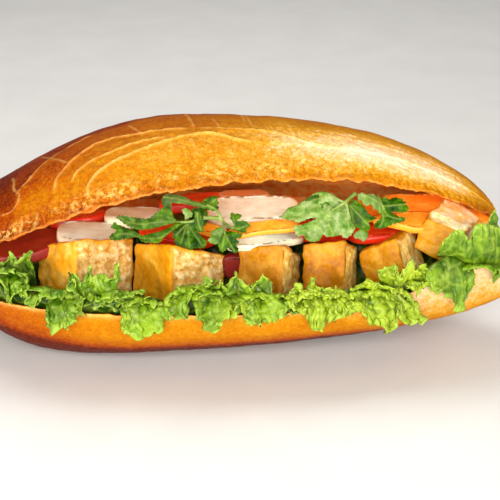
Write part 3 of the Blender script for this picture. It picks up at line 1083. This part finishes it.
UP = dict(out=(0.0, -1.0, 0.1))
FRILLS = {
    "left": [
        (A_([(-60, 1010), (180, 1000), (400, 1060)]), A_([(-60, 830), (0, 820), (70, 790), (130, 700), (190, 770), (260, 730), (320, 685), (355, 740), (330, 860)]), dict(offs=(5.5, 1.5), amp=1.6, famp=0.8, shade=0.25, seed=101, bulge=(0, 1, 0), **UP)),
        (A_([(-60, 900), (120, 900), (300, 980)]), A_([(-60, 1010), (60, 1090), (110, 1250), (200, 1180), (290, 1210), (330, 1100)]), dict(offs=(2.0, -3.5), wave=8, amp=3.0, famp=1.1, seed=103)),
        (A_([(240, 1100), (500, 1120), (900, 1180)]), A_([(230, 1190), (330, 1250), (380, 1330), (440, 1240), (560, 1240), (620, 1330), (700, 1400), (860, 1330)]), dict(offs=(3.0, -2.8), wave=8, amp=2.2, famp=0.9, seed=105)),
        (A_([(560, 1190), (720, 1150), (900, 1190)]), A_([(520, 1440), (600, 1560), (720, 1540), (800, 1500), (860, 1440), (930, 1330), (930, 1220)]), dict(offs=(1.0, -4.8), wave=7, amp=3.4, famp=1.2, seed=107, bulge=(0, -3, 1))),
        (A_([(820, 1230), (1050, 1320), (1320, 1250)]), A_([(790, 980), (850, 930), (930, 1000), (985, 830), (1030, 990), (1100, 990), (1150, 930), (1200, 980), (1290, 850), (1310, 960)]), dict(offs=(3.0, -0.5), wave=13, amp=1.5, famp=0.7, seed=109, teeth=0.4, bulge=(0, -1.5, 0), **UP)),
        (A_([(770, 960), (820, 1000), (850, 1100)]), A_([(760, 1000), (800, 1120), (860, 1200), (900, 1260), (920, 1340), (900, 1420)]), dict(offs=(1.0, -3.2), wave=6, amp=0.8, famp=0.4, seed=111, teeth=0.3, m=10)),
        (A_([(960, 1180), (1150, 1210), (1400, 1180)]), A_([(960, 1290), (1060, 1330), (1180, 1310), (1280, 1330), (1400, 1250)]), dict(offs=(5.0, -0.5), wave=7, amp=2.0, famp=0.9, seed=113, shade=0.5)),
    ],
    "middle": [
        (B_([(-60, 1180), (150, 1180), (360, 1190)]), B_([(-60, 1260), (60, 1290), (180, 1290), (290, 1260), (360, 1230)]), dict(offs=(4.0, -0.8), wave=9, amp=1.8, famp=0.8, seed=121, shade=0.4)),
        (B_([(120, 1290), (300, 1260), (560, 1300)]), B_([(130, 1480), (170, 1620), (300, 1680), (420, 1640), (500, 1560), (545, 1440), (600, 1440), (680, 1400)]), dict(offs=(1.5, -4.2), wave=14, amp=2.6, famp=0.8, seed=123, teeth=0.6, bulge=(0, -3.0, 2))),
        (B_([(590, 1240), (760, 1150), (900, 1120)]), B_([(590, 1330), (660, 1440), (760, 1450), (820, 1350), (850, 1200)]), dict(offs=(1.5, -3.8), wave=8, amp=2.6, famp=1.0, seed=125)),
        (B_([(640, 1260), (900, 1230), (1180, 1240)]), B_([(640, 1190), (720, 1140), (860, 1130), (940, 1060), (1040, 1050), (1100, 1100), (1160, 1040), (1210, 1160)]), dict(offs=(3.0, -1.5), wave=8, amp=2.2, famp=1.0, seed=127, shade=0.2, **UP)),
        (B_([(860, 1240), (1020, 1150), (1210, 1200)]), B_([(900, 1450), (960, 1480), (1010, 1560), (1120, 1560), (1200, 1480), (1230, 1340)]), dict(offs=(0.5, -6.0), wave=9, amp=3.6, famp=1.0, seed=129, bulge=(0, -4, 2))),
        (B_([(1120, 1260), (1260, 1230), (1420, 1240)]), B_([(1150, 1330), (1290, 1430), (1360, 1330), (1440, 1480), (1560, 1490)]), dict(offs=(2.0, -4.0), wave=9, amp=2.6, famp=1.0, seed=131)),
        (C_([(-80, 420), (220, 430), (560, 430)]), C_([(-40, 330), (20, 280), (80, 130), (130, 115), (190, 210), (290, 230), (340, 160), (410, 160), (480, 220), (500, 350)]), dict(offs=(3.5, -0.8), wave=15, amp=1.8, famp=0.7, seed=133, shade=0.35, teeth=0.6, bulge=(0, -2, 0), **UP)),
        (C_([(-40, 380), (60, 400), (170, 400)]), C_([(-60, 560), (60, 610), (130, 600), (210, 520)]), dict(offs=(2.0, -4.0), wave=9, amp=2.4, famp=1.0, seed=135)),
        (C_([(150, 400), (380, 370), (680, 390)]), C_([(180, 480), (240, 620), (330, 665), (390, 690), (450, 665), (520, 650), (600, 600), (690, 630), (680, 520)]), dict(offs=(2.0, -4.5), wave=12, amp=3.0, famp=0.9, seed=137, bulge=(0, -3, 2))),
        (C_([(560, 430), (700, 470), (900, 520)]), C_([(600, 520), (680, 540), (760, 560), (860, 590)]), dict(offs=(5.0, -0.5), wave=7, amp=1.5, famp=0.8, seed=139, shade=0.5)),
    ],
    "right": [
        (C_([(680, 460), (1000, 470), (1320, 440)]), C_([(700, 330), (760, 270), (850, 260), (900, 330), (960, 195), (1010, 230), (1060, 300), (1130, 320), (1190, 290), (1240, 270), (1290, 360), (1340, 400)]), dict(offs=(3.0, -1.0), wave=7, amp=2.0, famp=1.1, seed=141, shade=0.1, **UP)),
        (C_([(700, 400), (860, 370), (1010, 380)]), C_([(690, 470), (780, 500), (860, 580), (940, 620), (1000, 560), (1010, 460)]), dict(offs=(1.0, -4.5), wave=7, amp=3.0, famp=1.2, seed=143)),
        (C_([(860, 380), (1060, 340), (1230, 380)]), C_([(940, 600), (970, 740), (1040, 770), (1110, 790), (1140, 690), (1190, 610), (1240, 560)]), dict(offs=(0.5, -5.5), wave=8, amp=3.2, famp=1.2, seed=145, bulge=(0, -3, 1))),
        (C_([(1100, 380), (1240, 330), (1420, 400)]), C_([(1150, 560), (1240, 600), (1330, 610), (1390, 560), (1440, 540), (1450, 470)]), dict(offs=(0.5, -5.0), wave=7, amp=2.8, famp=1.2, seed=147)),
        (D_([(20, 820), (250, 800), (520, 860)]), D_([(60, 840), (140, 790), (260, 715), (330, 760), (420, 790), (500, 800), (530, 870)]), dict(offs=(3.0, -2.5), wave=8, amp=2.2, famp=1.1, seed=149, **UP)),
        (D_([(20, 880), (240, 830), (500, 860)]), D_([(-20, 1010), (100, 1030), (180, 1060), (260, 1130), (340, 1140), (400, 1195), (450, 1230), (500, 1160), (560, 1040)]), dict(offs=(0.5, -5.0), wave=8, amp=3.2, famp=1.2, seed=151, bulge=(0, -3, 1))),
        (D_([(480, 820), (540, 800), (600, 790)]), D_([(540, 1060), (620, 1150), (660, 1170), (740, 1145), (820, 1110), (740, 1090), (730, 980), (690, 920), (610, 890)]), dict(offs=(0.0, -4.0), wave=7, amp=1.8, famp=0.9, seed=153)),
        (D_([(330, 800), (560, 820), (830, 740)]), D_([(350, 660), (420, 620), (480, 570), (560, 640), (640, 518), (690, 570), (730, 610), (800, 555), (830, 620)]), dict(offs=(3.0, -1.5), wave=14, amp=1.6, famp=0.8, seed=155, teeth=0.4, **UP)),
        (D_([(620, 760), (720, 740), (830, 740)]), D_([(600, 790), (700, 800), (755, 860), (790, 780), (830, 760)]), dict(offs=(1.5, -3.5), wave=9, amp=1.4, famp=0.6, seed=157, m=12)),
    ],
    "nose": [
        (D_([(800, 600), (960, 500), (1060, 455), (1160, 500), (1290, 600)]), D_([(830, 700), (880, 800), (960, 845), (1050, 880), (1110, 930), (1105, 1035), (1160, 1030), (1200, 960), (1230, 870), (1290, 790)]), dict(offs=(-0.5, -4.0), wave=18, amp=2.2, famp=0.7, seed=161, teeth=0.6, bulge=(0, -2.5, 1))),
        (D_([(780, 640), (900, 560), (1000, 520)]), D_([(820, 700), (860, 800), (940, 830), (1000, 760), (1010, 640)]), dict(offs=(0.0, -3.0), wave=8, amp=1.6, famp=0.7, seed=163)),
        (D_([(930, 470), (1080, 480), (1190, 540), (1300, 590), (1420, 580), (1620, 610)]), D_([(950, 320), (1010, 245), (1100, 190), (1190, 215), (1235, 310), (1290, 290), (1305, 215), (1350, 145), (1430, 130), (1500, 170), (1620, 240)]), dict(offs=(1.0, -4.0), wave=22, amp=2.4, famp=0.8, seed=165, teeth=0.6, bulge=(0, -2, 0), out=(0.2, -1.0, 0.2))),
        (D_([(1380, 330), (1460, 300), (1620, 330)]), D_([(1400, 190), (1440, 130), (1480, 60), (1510, 28), (1545, 60), (1520, 120), (1560, 180), (1640, 220)]), dict(offs=(4.0, 1.0), wave=13, amp=1.6, famp=0.6, seed=167, teeth=0.5, **UP)),
        (D_([(1200, 560), (1400, 540), (1600, 560)]), D_([(1210, 600), (1300, 610), (1400, 580), (1460, 610), (1530, 640), (1620, 620)]), dict(offs=(0.5, -4.5), wave=10, amp=1.8, famp=0.8, seed=169, m=14)),
        (D_([(1480, 590), (1540, 590), (1600, 600)]), D_([(1490, 640), (1530, 745), (1560, 680), (1600, 640)]), dict(offs=(0.5, -3.0), wave=9, amp=0.8, famp=0.4, seed=171, m=12, teeth=0.3)),
    ],
}


LEAF_WAYS = {
    "left": dict(tone=0.04, deep=0.14, crush=0.9),
    "middle": dict(tone=0.10, deep=0.05, crush=0.9),
    "right": dict(tone=0.36, deep=0.10, crush=0.95, blister=1.0),
    "nose": dict(tone=0.05, deep=0.04, crush=0.5, blister=0.5)}


def lettuce(key, span, nodes, mat, seed):
    pile = Pile()
    if span:
        v, q, t, a = leaf_bed(span[0], span[1], seed)
        pile.add(v, q, t, a)
    for base, edge, kw in FRILLS[key]:
        v, q, a = frill(base, edge, **{**LEAF_WAYS[key], **kw})
        pile.add(v, q, None, a)
        if "out" in kw or key == "nose":
            continue
        # a low ruffle hides the fold where a hanging edge leaves the leaf
        root = np.array(base, float)
        near, far = root + np.array([0, -2.6]), root + np.array([0, 3.6])
        ways = {**LEAF_WAYS[key], **dict(offs=(1.5, -2.6), wave=6.5, amp=1.8, fine=3.0, famp=1.0, m=12, teeth=1.1, seed=kw["seed"] + 500, shade=0.05)}
        v, q, a = frill([tuple(c) for c in near], [tuple(c) for c in far], **ways)
        pile.add(v, q, None, a)
    return pile.make("lettuce_leaf_" + key, "lettuce", nodes, mat)


# ------------------------------------------------------------------ coriander
def cut_out(outline, step, origin, normal, seed, curl=1.2, cup=0.0, thick=0.35, pale=0.0, veins=(), chaikin=1, tooth=1.5):
    """A flat leaf cut to an outline given as seen, laid on a plane and curled."""
    pts = np.asarray(outline, float)
    for _ in range(chaikin):
        nxt = np.roll(pts, -1, 0)
        pts = np.stack([0.75 * pts + 0.25 * nxt, 0.25 * pts + 0.75 * nxt], 1).reshape(-1, 2)
    # spread points evenly along the outline
    loop = np.concatenate([pts, pts[:1]])
    s = np.concatenate([[0], np.cumsum(np.linalg.norm(np.diff(loop, axis=0), axis=1))])
    n = max(24, int(s[-1] / step))
    t = np.linspace(0, s[-1], n, endpoint=False)
    pts = np.stack([np.interp(t, s, loop[:, k]) for k in range(2)], -1)
    tan = unit(np.roll(pts, -1, 0) - np.roll(pts, 1, 0))
    area = 0.5 * np.sum(pts[:, 0] * np.roll(pts[:, 1], -1) - np.roll(pts[:, 0], -1) * pts[:, 1])
    side_n = np.stack([tan[:, 1], -tan[:, 0]], -1) * np.sign(area)
    per = s[-1] / max(3, round(s[-1] / 4.2))
    saw = np.abs((((t + 1.6 * wobble(t / 9.0, seed + 42)) / per) % 1.0) - 0.6)
    saw = np.sqrt(np.clip(1 - saw / 0.6, 0, 1))
    pts = pts + side_n * (tooth * (saw - 0.55) * (0.55 + 1.3 * np.abs(wobble(t / 7.0, seed + 40))))[:, None]
    lo, hi = pts.min(0), pts.max(0)
    gx, gy = np.meshgrid(np.arange(lo[0], hi[0], step), np.arange(lo[1], hi[1], step))
    g = np.stack([gx.ravel(), gy.ravel()], -1) + 0.15 * step * np.random.default_rng(seed).normal(size=(gx.size, 2))
    a, b = pts, np.roll(pts, -1, 0)
    inside = np.zeros(len(g), bool)
    for p, q in zip(a, b):
        cross = ((p[1] > g[:, 1]) != (q[1] > g[:, 1])) & (g[:, 0] < (q[0] - p[0]) * (g[:, 1] - p[1]) / (q[1] - p[1] + 1e-12) + p[0])
        inside ^= cross
    d = b - a
    near = np.full(len(g), 1e9)
    for p, q in zip(a, d):
        u = np.clip(((g - p) @ q) / max(q @ q, 1e-12), 0, 1)
        near = np.minimum(near, np.linalg.norm(g - p - u[:, None] * q, axis=1))
    g = g[inside & (near > 0.55 * step)]
    allp = np.concatenate([pts, g])
    edges = [(i, (i + 1) % n) for i in range(n)]
    co, _, faces, *_ = geometry.delaunay_2d_cdt([Vector(p) for p in allp], edges, [], 1, 1e-4)
    co = np.array([list(c) for c in co])
    tris = np.array([f for f in faces if len(f) == 3])
    # outline vertices are those on edges used once
    e = np.sort(np.concatenate([tris[:, [0, 1]], tris[:, [1, 2]], tris[:, [2, 0]]]), axis=1)
    uq, cnt = np.unique(e, axis=0, return_counts=True)
    used = np.unique(tris)
    remap = -np.ones(len(co), int)
    remap[used] = np.arange(len(used))
    co, tris = co[used], remap[tris]
    border = remap[uq[cnt == 1]]
    origin, normal = np.asarray(origin, float), unit(np.asarray(normal, float))
    P = on_plane(co[:, 0], co[:, 1], origin, normal)
    near = np.full(len(co), 1e9)
    for p, q in zip(a, d):
        u = np.clip(((co - p) @ q) / max(q @ q, 1e-12), 0, 1)
        near = np.minimum(near, np.linalg.norm(co - p - u[:, None] * q, axis=1))
    mm = near * 0.52
    vein = np.zeros(len(co))
    for line in veins:
        c = spline(line, 30) if len(line) > 2 else np.linspace(line[0], line[1], 12)
        dist = np.min(np.linalg.norm(co[:, None] - c[None], axis=2), axis=1) * 0.52
        vein = np.maximum(vein, np.exp(-((dist / 0.42) ** 2)))
    mid = P.mean(0)
    r2 = np.sum((P - mid) ** 2, 1) / max(np.max(np.sum((P - mid) ** 2, 1)), 1e-6)
    lift = curl * fbm(P / 6.0, 2, seed) + 0.5 * curl * fbm(P / 2.5, 2, seed + 2) - cup * r2 - 0.35 * vein
    P = P + lift[:, None] * normal
    t = thick * (0.45 + 0.55 * smooth(0, 0.9, mm)) + 0.35 * vein
    nv = len(P)
    verts = np.concatenate([P + normal * t[:, None] / 2, P - normal * t[:, None] / 2])
    # orient triangles towards the normal
    fn = np.cross(P[tris[:, 1]] - P[tris[:, 0]], P[tris[:, 2]] - P[tris[:, 0]])
    flip = (fn @ normal) < 0
    tris[flip] = tris[flip][:, ::-1]
    dirs = {}
    for f in tris:
        for i in range(3):
            dirs[(f[i], f[(i + 1) % 3])] = 1
    side = []
    for i, j in border:
        if (i, j) not in dirs:
            i, j = j, i
        side.append([j, i, i + nv, j + nv])
    allt = np.concatenate([tris, tris[:, ::-1] + nv])
    at = {"pale": np.full(2 * nv, pale), "vein": np.concatenate([vein, vein]), "edge": np.concatenate([1 - smooth(0, 0.8, mm)] * 2)}
    return verts, np.array(side), allt, at


def stem(points, r0, r1, depths, n=40, m=10, pale=0.75):
    """A round stem through points given as seen, each at its own depth."""
    pts = np.asarray(points, float)
    P = at_depth(pts[:, 0], pts[:, 1], np.asarray(depths, float))
    C = spline(P, n)
    T = unit(np.gradient(C, axis=0))
    up = np.array([0.1, 0.3, 1.0])
    S = unit(np.cross(T, up))
    U = np.cross(S, T)
    th = np.linspace(0, 2 * PI, m, endpoint=False)
    r = np.linspace(r0, r1, n)[:, None, None]
    R = C[:, None] + r * (np.cos(th)[None, :, None] * S[:, None] + np.sin(th)[None, :, None] * U[:, None])
    one = np.ones((n, m))
    return lofted(R, {"pale": pale * one, "vein": 0.5 * one, "edge": 0 * one})


def plane_at(px, py, depth, tilt, roll=0.0):
    """A plane through what is seen at px, py: tilt 90 faces the camera, 0 lies flat."""
    t, r = math.radians(tilt), math.radians(roll)
    nrm = np.array([math.sin(r) * math.sin(t + 0.3), -math.sin(t) * math.cos(r), math.cos(t)])
    return at_depth(np.array(px), np.array(py), depth), unit(nrm)


def coriander(mat):
    left, right = Pile(), Pile()

    def leaf(pile, pts, ref, depth, tilt, roll=0.0, **kw):
        c = np.mean(np.asarray(pts), 0) if ref is None else ref
        o, nrm = plane_at(c[0], c[1], depth, tilt, roll)
        v, q, t, a = cut_out(pts, kw.pop("step", 0.8), o, nrm, **kw)
        pile.add(v, q, t, a)

    # left sprig
    leaf(left, B_([(60, 385), (110, 370), (200, 385), (330, 405), (410, 405), (450, 370), (500, 330), (560, 285), (620, 300), (650, 340), (665, 395), (700, 430), (760, 440), (600, 466), (480, 498), (400, 514), (300, 522), (240, 507), (170, 470), (110, 428)]),
         None, -22, 62, 0, seed=201, curl=1.0, pale=0.12, veins=[B_([(90, 392), (300, 460), (500, 440), (740, 440)])])
    leaf(left, B_([(0, 497), (60, 512), (72, 540), (20, 558), (-5, 590), (0, 622), (60, 627), (160, 607), (280, 592), (310, 602), (322, 642), (400, 652), (520, 657), (548, 612), (600, 572), (720, 480), (780, 440), (700, 445), (560, 530), (400, 566), (330, 576), (260, 541), (160, 492), (80, 472), (45, 436), (30, 470)]),
         None, -27, 50, 0, seed=203, curl=1.0, pale=0.05, veins=[B_([(20, 600), (150, 560), (330, 600), (520, 600), (740, 450)])])
    leaf(left, B_([(535, 205), (560, 158), (620, 142), (720, 160), (800, 182), (850, 222), (960, 232), (1060, 252), (1110, 300), (1090, 330), (1000, 300), (880, 275), (780, 245), (700, 245), (640, 225), (640, 300), (660, 380), (600, 350), (560, 290)]),
         None, -17, 66, 0, seed=205, curl=0.9, pale=0.18, veins=[B_([(560, 180), (720, 200), (880, 245), (1060, 290)])])
    leaf(left, B_([(960, 215), (1020, 190), (1080, 163), (1135, 178), (1108, 210), (1143, 235), (1112, 258), (1143, 292), (1118, 322), (1060, 272), (1000, 245)]),
         None, -15, 70, 10, seed=207, curl=0.7, pale=0.0, veins=[B_([(1110, 200), (1040, 250)])])
    leaf(left, B_([(850, 300), (960, 290), (1010, 320), (1030, 400), (1000, 470), (960, 490), (900, 430), (860, 380)]),
         None, -16, 60, 0, seed=208, curl=0.8, pale=0.0)
    leaf(left, B_([(750, 300), (800, 293), (852, 330), (872, 370), (820, 402), (772, 436), (790, 380), (760, 340)]),
         None, -20, 70, 0, seed=209, curl=0.6, pale=0.85)
    leaf(left, B_([(882, 315), (915, 335), (942, 318), (948, 380), (982, 440), (962, 490), (987, 532), (930, 542), (900, 500), (878, 450), (888, 380)]),
         None, -24, 72, 0, seed=211, curl=0.6, pale=0.02, veins=[B_([(912, 340), (920, 430), (950, 520)])])
    leaf(left, B_([(780, 440), (850, 420), (900, 440), (900, 520), (960, 600), (1015, 640), (1000, 692), (950, 716), (905, 700), (860, 728), (800, 730), (762, 692), (700, 692), (668, 652), (692, 630), (648, 590), (672, 568), (648, 540), (700, 500)]),
         None, -25.5, 58, 0, seed=213, curl=1.0, pale=0.0, veins=[B_([(800, 470), (740, 660)]), B_([(810, 470), (830, 700)]), B_([(820, 470), (960, 680)]), B_([(790, 470), (690, 580)])])
    leaf(left, B_([(1292, 520), (1302, 460), (1258, 400), (1258, 360), (1282, 333), (1290, 360), (1342, 350), (1382, 378), (1350, 402), (1325, 440), (1400, 420), (1442, 450), (1468, 480), (1412, 512), (1432, 552), (1372, 547), (1330, 532)]),
         None, -22, 64, -10, seed=215, curl=0.8, pale=0.0, veins=[B_([(1310, 520), (1290, 390)]), B_([(1310, 520), (1430, 480)])])
    leaf(left, B_([(1178, 560), (1240, 528), (1300, 545), (1384, 560), (1372, 602), (1308, 610), (1354, 650), (1308, 672), (1352, 730), (1308, 772), (1250, 722), (1208, 698), (1210, 742), (1158, 757), (1128, 680), (1150, 620)]),
         None, -28, 60, 0, seed=217, curl=0.8, pale=0.0, veins=[B_([(1200, 560), (1240, 640), (1300, 740)]), B_([(1200, 570), (1170, 720)])])
    leaf(left, B_([(1018, 622), (1062, 590), (1048, 550), (1120, 500), (1180, 488), (1202, 530), (1162, 600), (1152, 660), (1120, 672), (1050, 662)]),
         None, -26.5, 60, 0, seed=219, curl=0.7, pale=0.55)
    for pts, r0, r1, dep in [
        (B_([(970, 396), (1060, 394), (1150, 402)]), 0.85, 0.85, [-21, -19.5, -18.5]),
        (B_([(1010, 262), (1080, 290), (1135, 345), (1160, 400), (1185, 440), (1240, 480), (1295, 512)]), 0.55, 0.6, [-17.5, -18, -18.5, -19, -20, -21.5, -23]),
        (B_([(700, 440), (780, 440), (860, 430), (940, 400)]), 0.5, 0.6, [-23, -23.5, -23.5, -22]),
        (B_([(1180, 440), (1190, 490), (1200, 560)]), 0.45, 0.4, [-20, -24, -28])]:
        v, q, t, a = stem(pts, r0, r1, dep)
        left.add(v, q, t, a)
    # right sprig: broad leaf showing its pale back
    leaf(right, E_([(1040, 372), (960, 338), (880, 262), (780, 240), (700, 233), (600, 268), (500, 350), (425, 385), (410, 412), (330, 440), (242, 460), (232, 500), (188, 520), (195, 550), (142, 582), (180, 603), (262, 637), (330, 625), (345, 652), (400, 667), (460, 645), (560, 600), (655, 600), (640, 620), (540, 665), (470, 690), (440, 702), (312, 716), (350, 740), (330, 765), (368, 842), (420, 857), (462, 830), (490, 850), (478, 880), (512, 912), (560, 932), (640, 937), (702, 905), (722, 860), (748, 820), (770, 860), (852, 862), (930, 850), (1000, 828), (1030, 882), (1072, 882), (1112, 860), (1162, 800), (1200, 740), (1172, 700), (1130, 600), (1095, 480), (1075, 400)]),
         (314, 215), -22, 62, 0, seed=231, curl=1.1, pale=0.8, step=0.9,
         veins=[E_([(1040, 380), (850, 500), (700, 540), (450, 560), (170, 580)]), E_([(1060, 385), (1085, 560), (1100, 800)]), E_([(850, 500), (830, 700), (900, 840)]), E_([(850, 500), (640, 720), (440, 780)]), E_([(1030, 375), (860, 310), (620, 330)])])
    leaf(right, E_([(1085, 395), (1150, 345), (1250, 368), (1332, 470), (1400, 560), (1440, 575), (1502, 612), (1430, 632), (1368, 660), (1412, 712), (1382, 792), (1300, 772), (1240, 742), (1180, 690), (1120, 580)]),
         None, -20.5, 58, 8, seed=233, curl=1.0, pale=0.08, veins=[E_([(1090, 410), (1250, 560), (1380, 700)]), E_([(1100, 420), (1180, 660)])])
    leaf(right, E_([(1178, 882), (1170, 850), (1190, 808), (1262, 768), (1332, 760), (1384, 832), (1350, 902), (1300, 944), (1270, 890)]),
         None, -24, 66, 0, seed=235, curl=0.8, pale=0.5)
    leaf(right, E_([(470, 360), (560, 300), (700, 262), (860, 330), (960, 380), (900, 440), (760, 470), (640, 450), (520, 430)]),
         None, -19.5, 62, 0, seed=237, curl=0.9, pale=0.05, veins=[E_([(520, 400), (700, 330), (920, 400)])])
    leaf(right, F_([(600, 372), (640, 300), (740, 238), (762, 292), (820, 332), (900, 288), (1000, 268), (1060, 312), (1152, 300), (1130, 352), (1252, 382), (1210, 432), (1262, 480), (1304, 540), (1272, 592), (1180, 632), (1100, 632), (900, 618), (878, 640), (960, 702), (1080, 752), (1224, 768), (1200, 832), (1100, 882), (950, 902), (850, 952), (750, 987), (600, 1042), (560, 1002), (500, 1032), (463, 982), (500, 880), (620, 790), (640, 700), (650, 600), (640, 480)]),
         None, -21, 58, 0, seed=239, curl=0.9, pale=0.0, veins=[F_([(650, 480), (900, 470), (1220, 440)]), F_([(660, 520), (820, 720), (1100, 800)]), F_([(650, 560), (680, 800), (600, 980)])])
    leaf(right, F_([(58, 190), (180, 163), (290, 205), (440, 178), (522, 260), (602, 330), (652, 430), (657, 560), (625, 692), (560, 640), (520, 545), (450, 582), (410, 440), (370, 440), (290, 482), (200, 432), (170, 360), (90, 332), (58, 260)]),
         None, -19, 66, 0, seed=241, curl=0.8, pale=0.5, veins=[F_([(80, 210), (330, 270), (600, 420)]), F_([(600, 430), (590, 640)])])
    for pts, r0, r1, dep in [
        (E_([(1195, 255), (1120, 318), (1040, 385), (950, 445), (850, 505)]), 0.85, 0.5, [-18.5, -20.5, -22.5, -22.8, -23]),
        (E_([(1050, 380), (1080, 440), (1090, 540)]), 0.55, 0.4, [-22.5, -23, -23]),
        (E_([(1040, 382), (960, 345), (880, 300)]), 0.55, 0.4, [-22.5, -21.5, -20.5]),
        (F_([(560, 240), (600, 330), (640, 430), (700, 560)]), 0.5, 0.35, [-17, -19.5, -21.5, -22.5])]:
        v, q, t, a = stem(pts, r0, r1, dep)
        right.add(v, q, t, a)
    left.make("coriander_left", "coriander", [], mat)
    right.make("coriander_right", "coriander", [], mat)


# ------------------------------------------------------------------ build it all
crust = crust_material("crust_baked", 1.0)
bread_top(crust)
bread_base(crust)
bread_hinge(crust)
tofu_mat = tofu_material()
for i in range(6):
    tofu_cube(i, tofu_mat)
SLICE_MATS = {"daikon": daikon_material(), "carrot": carrot_material(), "tomato": tomato_material()}
for j, (name, at, turn, size, kw) in enumerate(SLICES):
    kind = name.split("_")[0]
    slice_piece(name, at, turn, size, SLICE_MATS[kind], kind, 300 + j * 9, **kw)
leafy = lettuce_material()
lettuce("left", (-109, -40.4), ["lettuce_1"], leafy, 401)
lettuce("middle", (-40.4, 28.2), ["lettuce_2"], leafy, 411)
lettuce("right", (28.2, 96), ["lettuce_3"], leafy, 421)
lettuce("nose", None, ["lettuce_4"], leafy, 431)
coriander(coriander_material())


# ------------------------------------------------------------------ stage
def flat_floor():
    me = bpy.data.meshes.new("floor")
    r = 1.6
    me.from_pydata([(-r, -r, 0), (r, -r, 0), (r, r, 0), (-r, r, 0)], [], [(0, 1, 2, 3)])
    ob = bpy.data.objects.new("floor", me)
    bpy.context.scene.collection.objects.link(ob)
    m = Mat("floor_pale", 0.6)
    grain = m.noise(30, 3, 0.5)
    me.materials.append(m.set(Base_Color=m.ramp(grain, [(0.3, (0.72, 0.71, 0.69, 1)), (0.7, (0.76, 0.75, 0.73, 1))])))


def area_light(name, at, target, size, power, colour):
    data = bpy.data.lights.new(name, "AREA")
    data.shape = "RECTANGLE"
    data.size, data.size_y = size
    data.energy = power
    data.color = colour
    ob = bpy.data.objects.new(name, data)
    bpy.context.scene.collection.objects.link(ob)
    ob.location = at
    d = Vector(target) - Vector(at)
    ob.rotation_mode = "QUATERNION"
    ob.rotation_quaternion = d.to_track_quat("-Z", "Y")


flat_floor()
area_light("key", (0.30, -0.66, 0.38), (0.02, 0, 0.05), (0.36, 0.36), 2.6, (1.0, 0.97, 0.92))
area_light("front", (-0.10, -0.76, 0.50), (0, 0, 0.055), (0.50, 0.20), 4.0, (1.0, 0.98, 0.95))
area_light("left", (-0.46, -0.64, 0.17), (-0.04, 0, 0.05), (0.24, 0.14), 3.4, (1.0, 0.97, 0.93))
area_light("side", (0.80, -0.34, 0.16), (0.03, -0.02, 0.05), (0.30, 0.22), 0.9, (1.0, 0.97, 0.93))
area_light("low", (0.06, -0.80, 0.08), (0, 0, 0.085), (0.8, 0.10), 4.6, (1.0, 0.95, 0.90))
area_light("top", (-0.10, 0.25, 0.80), (0, 0, 0.06), (0.7, 0.5), 4.6, (1.0, 0.985, 0.96))

world = bpy.data.worlds.new("studio")
world.use_nodes = True
world.node_tree.nodes["Background"].inputs["Color"].default_value = (1.0, 0.985, 0.96, 1)
world.node_tree.nodes["Background"].inputs["Strength"].default_value = 0.26
bpy.context.scene.world = world

cam_data = bpy.data.cameras.new("camera")
cam_data.sensor_width = 36.0
cam_data.lens = CAM_LENS
cam_data.clip_start, cam_data.clip_end = 0.01, 10
cam = bpy.data.objects.new("camera", cam_data)
bpy.context.scene.collection.objects.link(cam)
cam.location = (0.005282, -0.48914, 0.26865)
cam.rotation_euler = (CAM_TILT, 0, 0)
bpy.context.scene.camera = cam
bpy.context.scene.view_settings.view_transform = "Standard"
